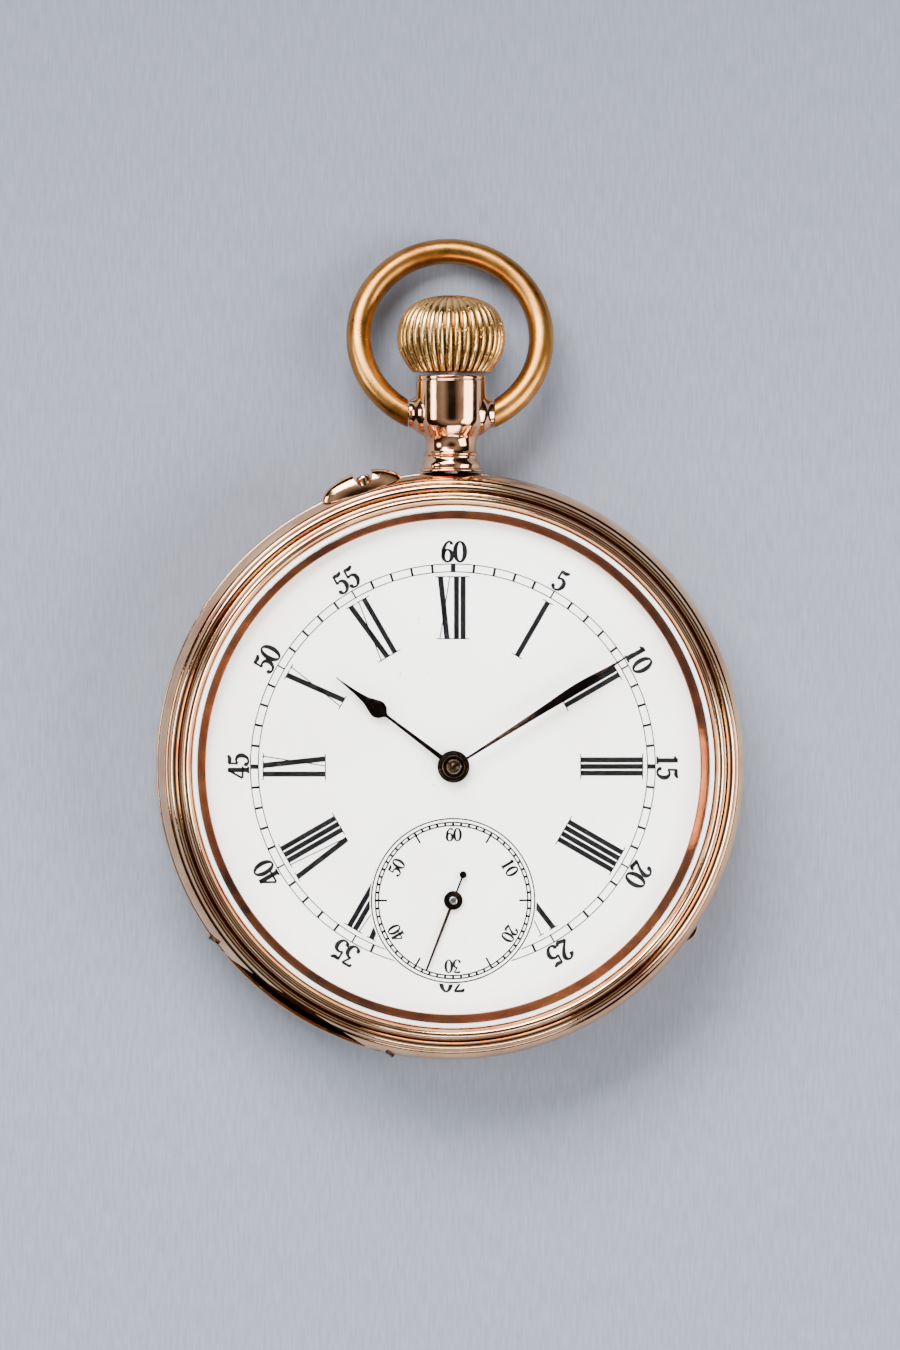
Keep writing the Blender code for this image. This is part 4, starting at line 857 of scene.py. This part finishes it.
def hand(name, stations, boss, hole, centre, degrees, body, node, tail=()):
    """A hand cut from sheet: the blade, a round boss with its hole, and softly rounded edges."""
    blade = smooth_half(stations)
    low, high = (corner.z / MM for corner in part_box(node))
    rise = high - low
    bpy.ops.object.select_all(action="DESELECT")
    bpy.ops.mesh.primitive_grid_add(x_subdivisions=2, y_subdivisions=len(blade) - 1, size=1.0)
    piece = bpy.context.object
    piece.name = name
    for corner in piece.data.vertices:
        along, half = blade[round((corner.co.y + 0.5) * (len(blade) - 1))]
        ridge = high if abs(corner.co.x) < 0.1 else low + 0.45 * rise
        corner.co = Vector((2.0 * corner.co.x * half, along, ridge)) * MM
    bpy.ops.object.mode_set(mode="EDIT")
    bpy.ops.mesh.select_all(action="SELECT")
    bpy.ops.mesh.extrude_region_move(TRANSFORM_OT_translate={"value": (0.0, 0.0, -rise * MM)})
    bpy.ops.object.mode_set(mode="OBJECT")
    for corner in piece.data.vertices:
        if corner.select:
            corner.co.z = low * MM
    bpy.ops.object.mode_set(mode="EDIT")
    bpy.ops.mesh.select_all(action="SELECT")
    bpy.ops.mesh.normals_make_consistent(inside=False)
    bpy.ops.object.mode_set(mode="OBJECT")
    disc_line = rounded([(hole, low, 0.0), (boss, low, 0.02), (boss, high, 0.06), (hole, high, 0.03)])
    work(piece, spun("boss", disc_line, AXIS, UP, 96), "UNION")
    for extra in tail:
        work(piece, extra(low, high), "UNION")
    work(piece, bar("pipe_hole", UP * (low - 1), UP * (high + 1), hole, 64), "DIFFERENCE")
    soft = piece.modifiers.new("soft_edge", "BEVEL")
    soft.width = 0.3 * rise * MM
    soft.segments = 2
    soft.limit_method = "ANGLE"
    soft.angle_limit = math.radians(50.0)
    bpy.ops.object.modifier_apply(modifier="soft_edge")
    bpy.ops.object.shade_smooth_by_angle(angle=math.radians(35.0))
    piece.data.transform(round_the_dial(degrees, centre))
    piece.data.materials.append(hand_steel)
    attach(piece, body)
    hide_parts(node)


hand("hour_pear_hand", [(1.2, 0.21), (4.0, 0.17), (6.9, 0.13), (7.15, 0.2), (7.45, 0.56), (7.96, 0.75),
                        (8.5, 0.6), (9.2, 0.33), (10.3, 0.17), (12.38, 0.04)],
     1.35, 1.04, AXIS, 307.2, "hours", "hour_hand")
hand("minute_pear_hand", [(0.8, 0.1), (5.0, 0.18), (9.0, 0.29), (11.9, 0.4), (13.6, 0.33), (14.8, 0.21),
                          (15.8, 0.12), (17.78, 0.05)],
     0.91, 0.66, AXIS, 57.6, "minutes", "minute_hand")
cap = spun("centre_cap", [(0.0, 9.9), (0.66, 9.9), (0.66, 10.03), (0.63, 10.12), (0.56, 10.27), (0.46, 10.4),
                          (0.34, 10.5), (0.2, 10.57), (0.0, 10.6)], AXIS, UP, 64)
worn_cap = worn_metal("worn_steel_cap", ["140E08", "33271A", "6E5A38"], (0.14, 0.28), 0.35, 2200.0)[0]
collet = spun("hour_collet", rounded([
    (1.03, 9.45, 0.0), (1.2, 9.45, 0.0), (1.2, 9.68, 0.06), (0.95, 9.72, 0.04), (0.95, 9.62, 0.0),
    (1.03, 9.6, 0.0)]), AXIS, UP, 96)
collet.data.materials.append(hand_steel)
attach(collet, "hours")
pipe = spun("seconds_pipe", rounded([
    (0.14, 9.0, 0.0), (0.33, 9.06, 0.0), (0.33, 9.13, 0.03), (0.26, 9.17, 0.03), (0.14, 9.14, 0.02)]),
    fourth, UP, 48)
pipe.data.materials.append(steel)
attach(pipe, "seconds")
cap.data.materials.append(worn_cap)
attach(cap, "minutes")
counterweight = [
    lambda low, high: block("tail_bar", (-0.08, -2.1, low + 0.01), (0.08, -0.6, high - 0.01)),
    lambda low, high: bar("tail_ball", Vector((0, -2.3, low)), Vector((0, -2.3, high)), 0.31),
]
hand("seconds_needle", [(0.6, 0.13), (3.0, 0.12), (6.31, 0.09)], 0.8, 0.23, fourth, 201.1, "seconds",
     "seconds_hand", counterweight)


# ---- Camera, light and table
# The watch is seen from above, a few degrees from its left, with a long lens.
DISTANCE = 600.0
VIEW_WIDTH = 113.56
aim = Vector((-0.25, 7.7, DIAL_FRONT)) * MM
swing = math.radians(2.6)
away = Vector((-math.sin(swing), 0.0, math.cos(swing))) * DISTANCE * MM
eye = bpy.data.objects.new("camera", bpy.data.cameras.new("camera"))
bpy.context.scene.collection.objects.link(eye)
eye.location = aim + away
eye.rotation_euler = (0.0, -swing, 0.0)
eye.data.sensor_width = 36.0
eye.data.lens = eye.data.sensor_width * DISTANCE / VIEW_WIDTH
eye.data.clip_end = 10.0
bpy.context.scene.camera = eye

# A plain pale table, cool grey and matt, with the faint brushing of its top, and painted shade that darkens
# it towards the top of the view.
bpy.ops.object.select_all(action="DESELECT")
bpy.ops.mesh.primitive_plane_add(size=3.0, location=(0.0, 0.0, 0.0))
table = bpy.context.object
table.name = "table_top"
table_grey, tree, shader, place = finish_of("pale_grey_table", {"Roughness": 0.55})
streak = add_node(tree, "ShaderNodeMapping", {"Scale": (9.0, 1.0, 1.0)}, {"Vector": (place, "Object")})
brushed = add_node(tree, "ShaderNodeTexNoise", {"Scale": 500.0, "Detail": 4.0},
                   {"Vector": (streak, "Vector")})
grey = add_node(tree, "ShaderNodeValToRGB", {}, {"Fac": (brushed, "Fac")}, [(0.3, "7C828F"), (0.7, "8A909C")])
spread = add_node(tree, "ShaderNodeSeparateXYZ", {}, {"Vector": (place, "Object")})
# Painted shade: beyond the watch's centre the table's grey is multiplied darker, towards the top of the view.
behind = add_node(tree, "ShaderNodeMapRange", {"From Min": 0.0, "From Max": 0.07}, {"Value": (spread, "Y")})
shade = add_node(tree, "ShaderNodeMix", {"data_type": "RGBA", "blend_type": "MULTIPLY", 7: linear("DADADC")},
                 {0: (behind, "Result"), 6: (grey, "Color")})
tree.links.new(shade.outputs[2], shader.inputs["Base Color"])
table.data.materials.append(table_grey)


def soft_box(name, place_at, towards, wide, high, power):
    """A studio soft box: an area light aimed at the watch."""
    lamp = bpy.data.objects.new(name, bpy.data.lights.new(name, "AREA"))
    bpy.context.scene.collection.objects.link(lamp)
    lamp.data.shape = "RECTANGLE"
    lamp.data.size = wide
    lamp.data.size_y = high
    lamp.data.energy = power
    lamp.location = place_at
    lamp.rotation_euler = (Vector(towards) - Vector(place_at)).to_track_quat("-Z", "Y").to_euler()


soft_box("top_left_box", (-0.5, 1.15, 1.2), (0.0, 0.0, 0.0), 1.4, 0.8, 88.0)
soft_box("right_box", (1.15, -0.3, 0.85), (0.0, 0.0, 0.0), 1.1, 0.8, 34.0)
soft_box("left_box", (-1.2, 0.1, 0.65), (0.0, 0.0, 0.0), 0.6, 0.4, 9.0)
soft_box("front_box", (0.15, -1.25, 0.75), (0.0, 0.0, 0.0), 0.9, 0.3, 9.0)

# The room round the boxes is dim near the table, pale higher up, and dark straight overhead.
world = bpy.data.worlds.new("studio")
world.use_nodes = True
tree = world.node_tree
heading = add_node(tree, "ShaderNodeTexCoord", {})
rise = add_node(tree, "ShaderNodeSeparateXYZ", {}, {"Vector": (heading, "Generated")})
room = add_node(tree, "ShaderNodeValToRGB", {}, {"Fac": (rise, "Z")}, [
    (0.0, "1C1512"), (0.5, "352B26"), (0.7, "9A999A"), (0.88, "D4D5D8"), (0.965, "807E7E"), (0.985, "3C3A39"),
    (1.0, "2A2827")])
tree.links.new(room.outputs["Color"], tree.nodes["Background"].inputs["Color"])
tree.nodes["Background"].inputs["Strength"].default_value = 0.75
bpy.context.scene.world = world
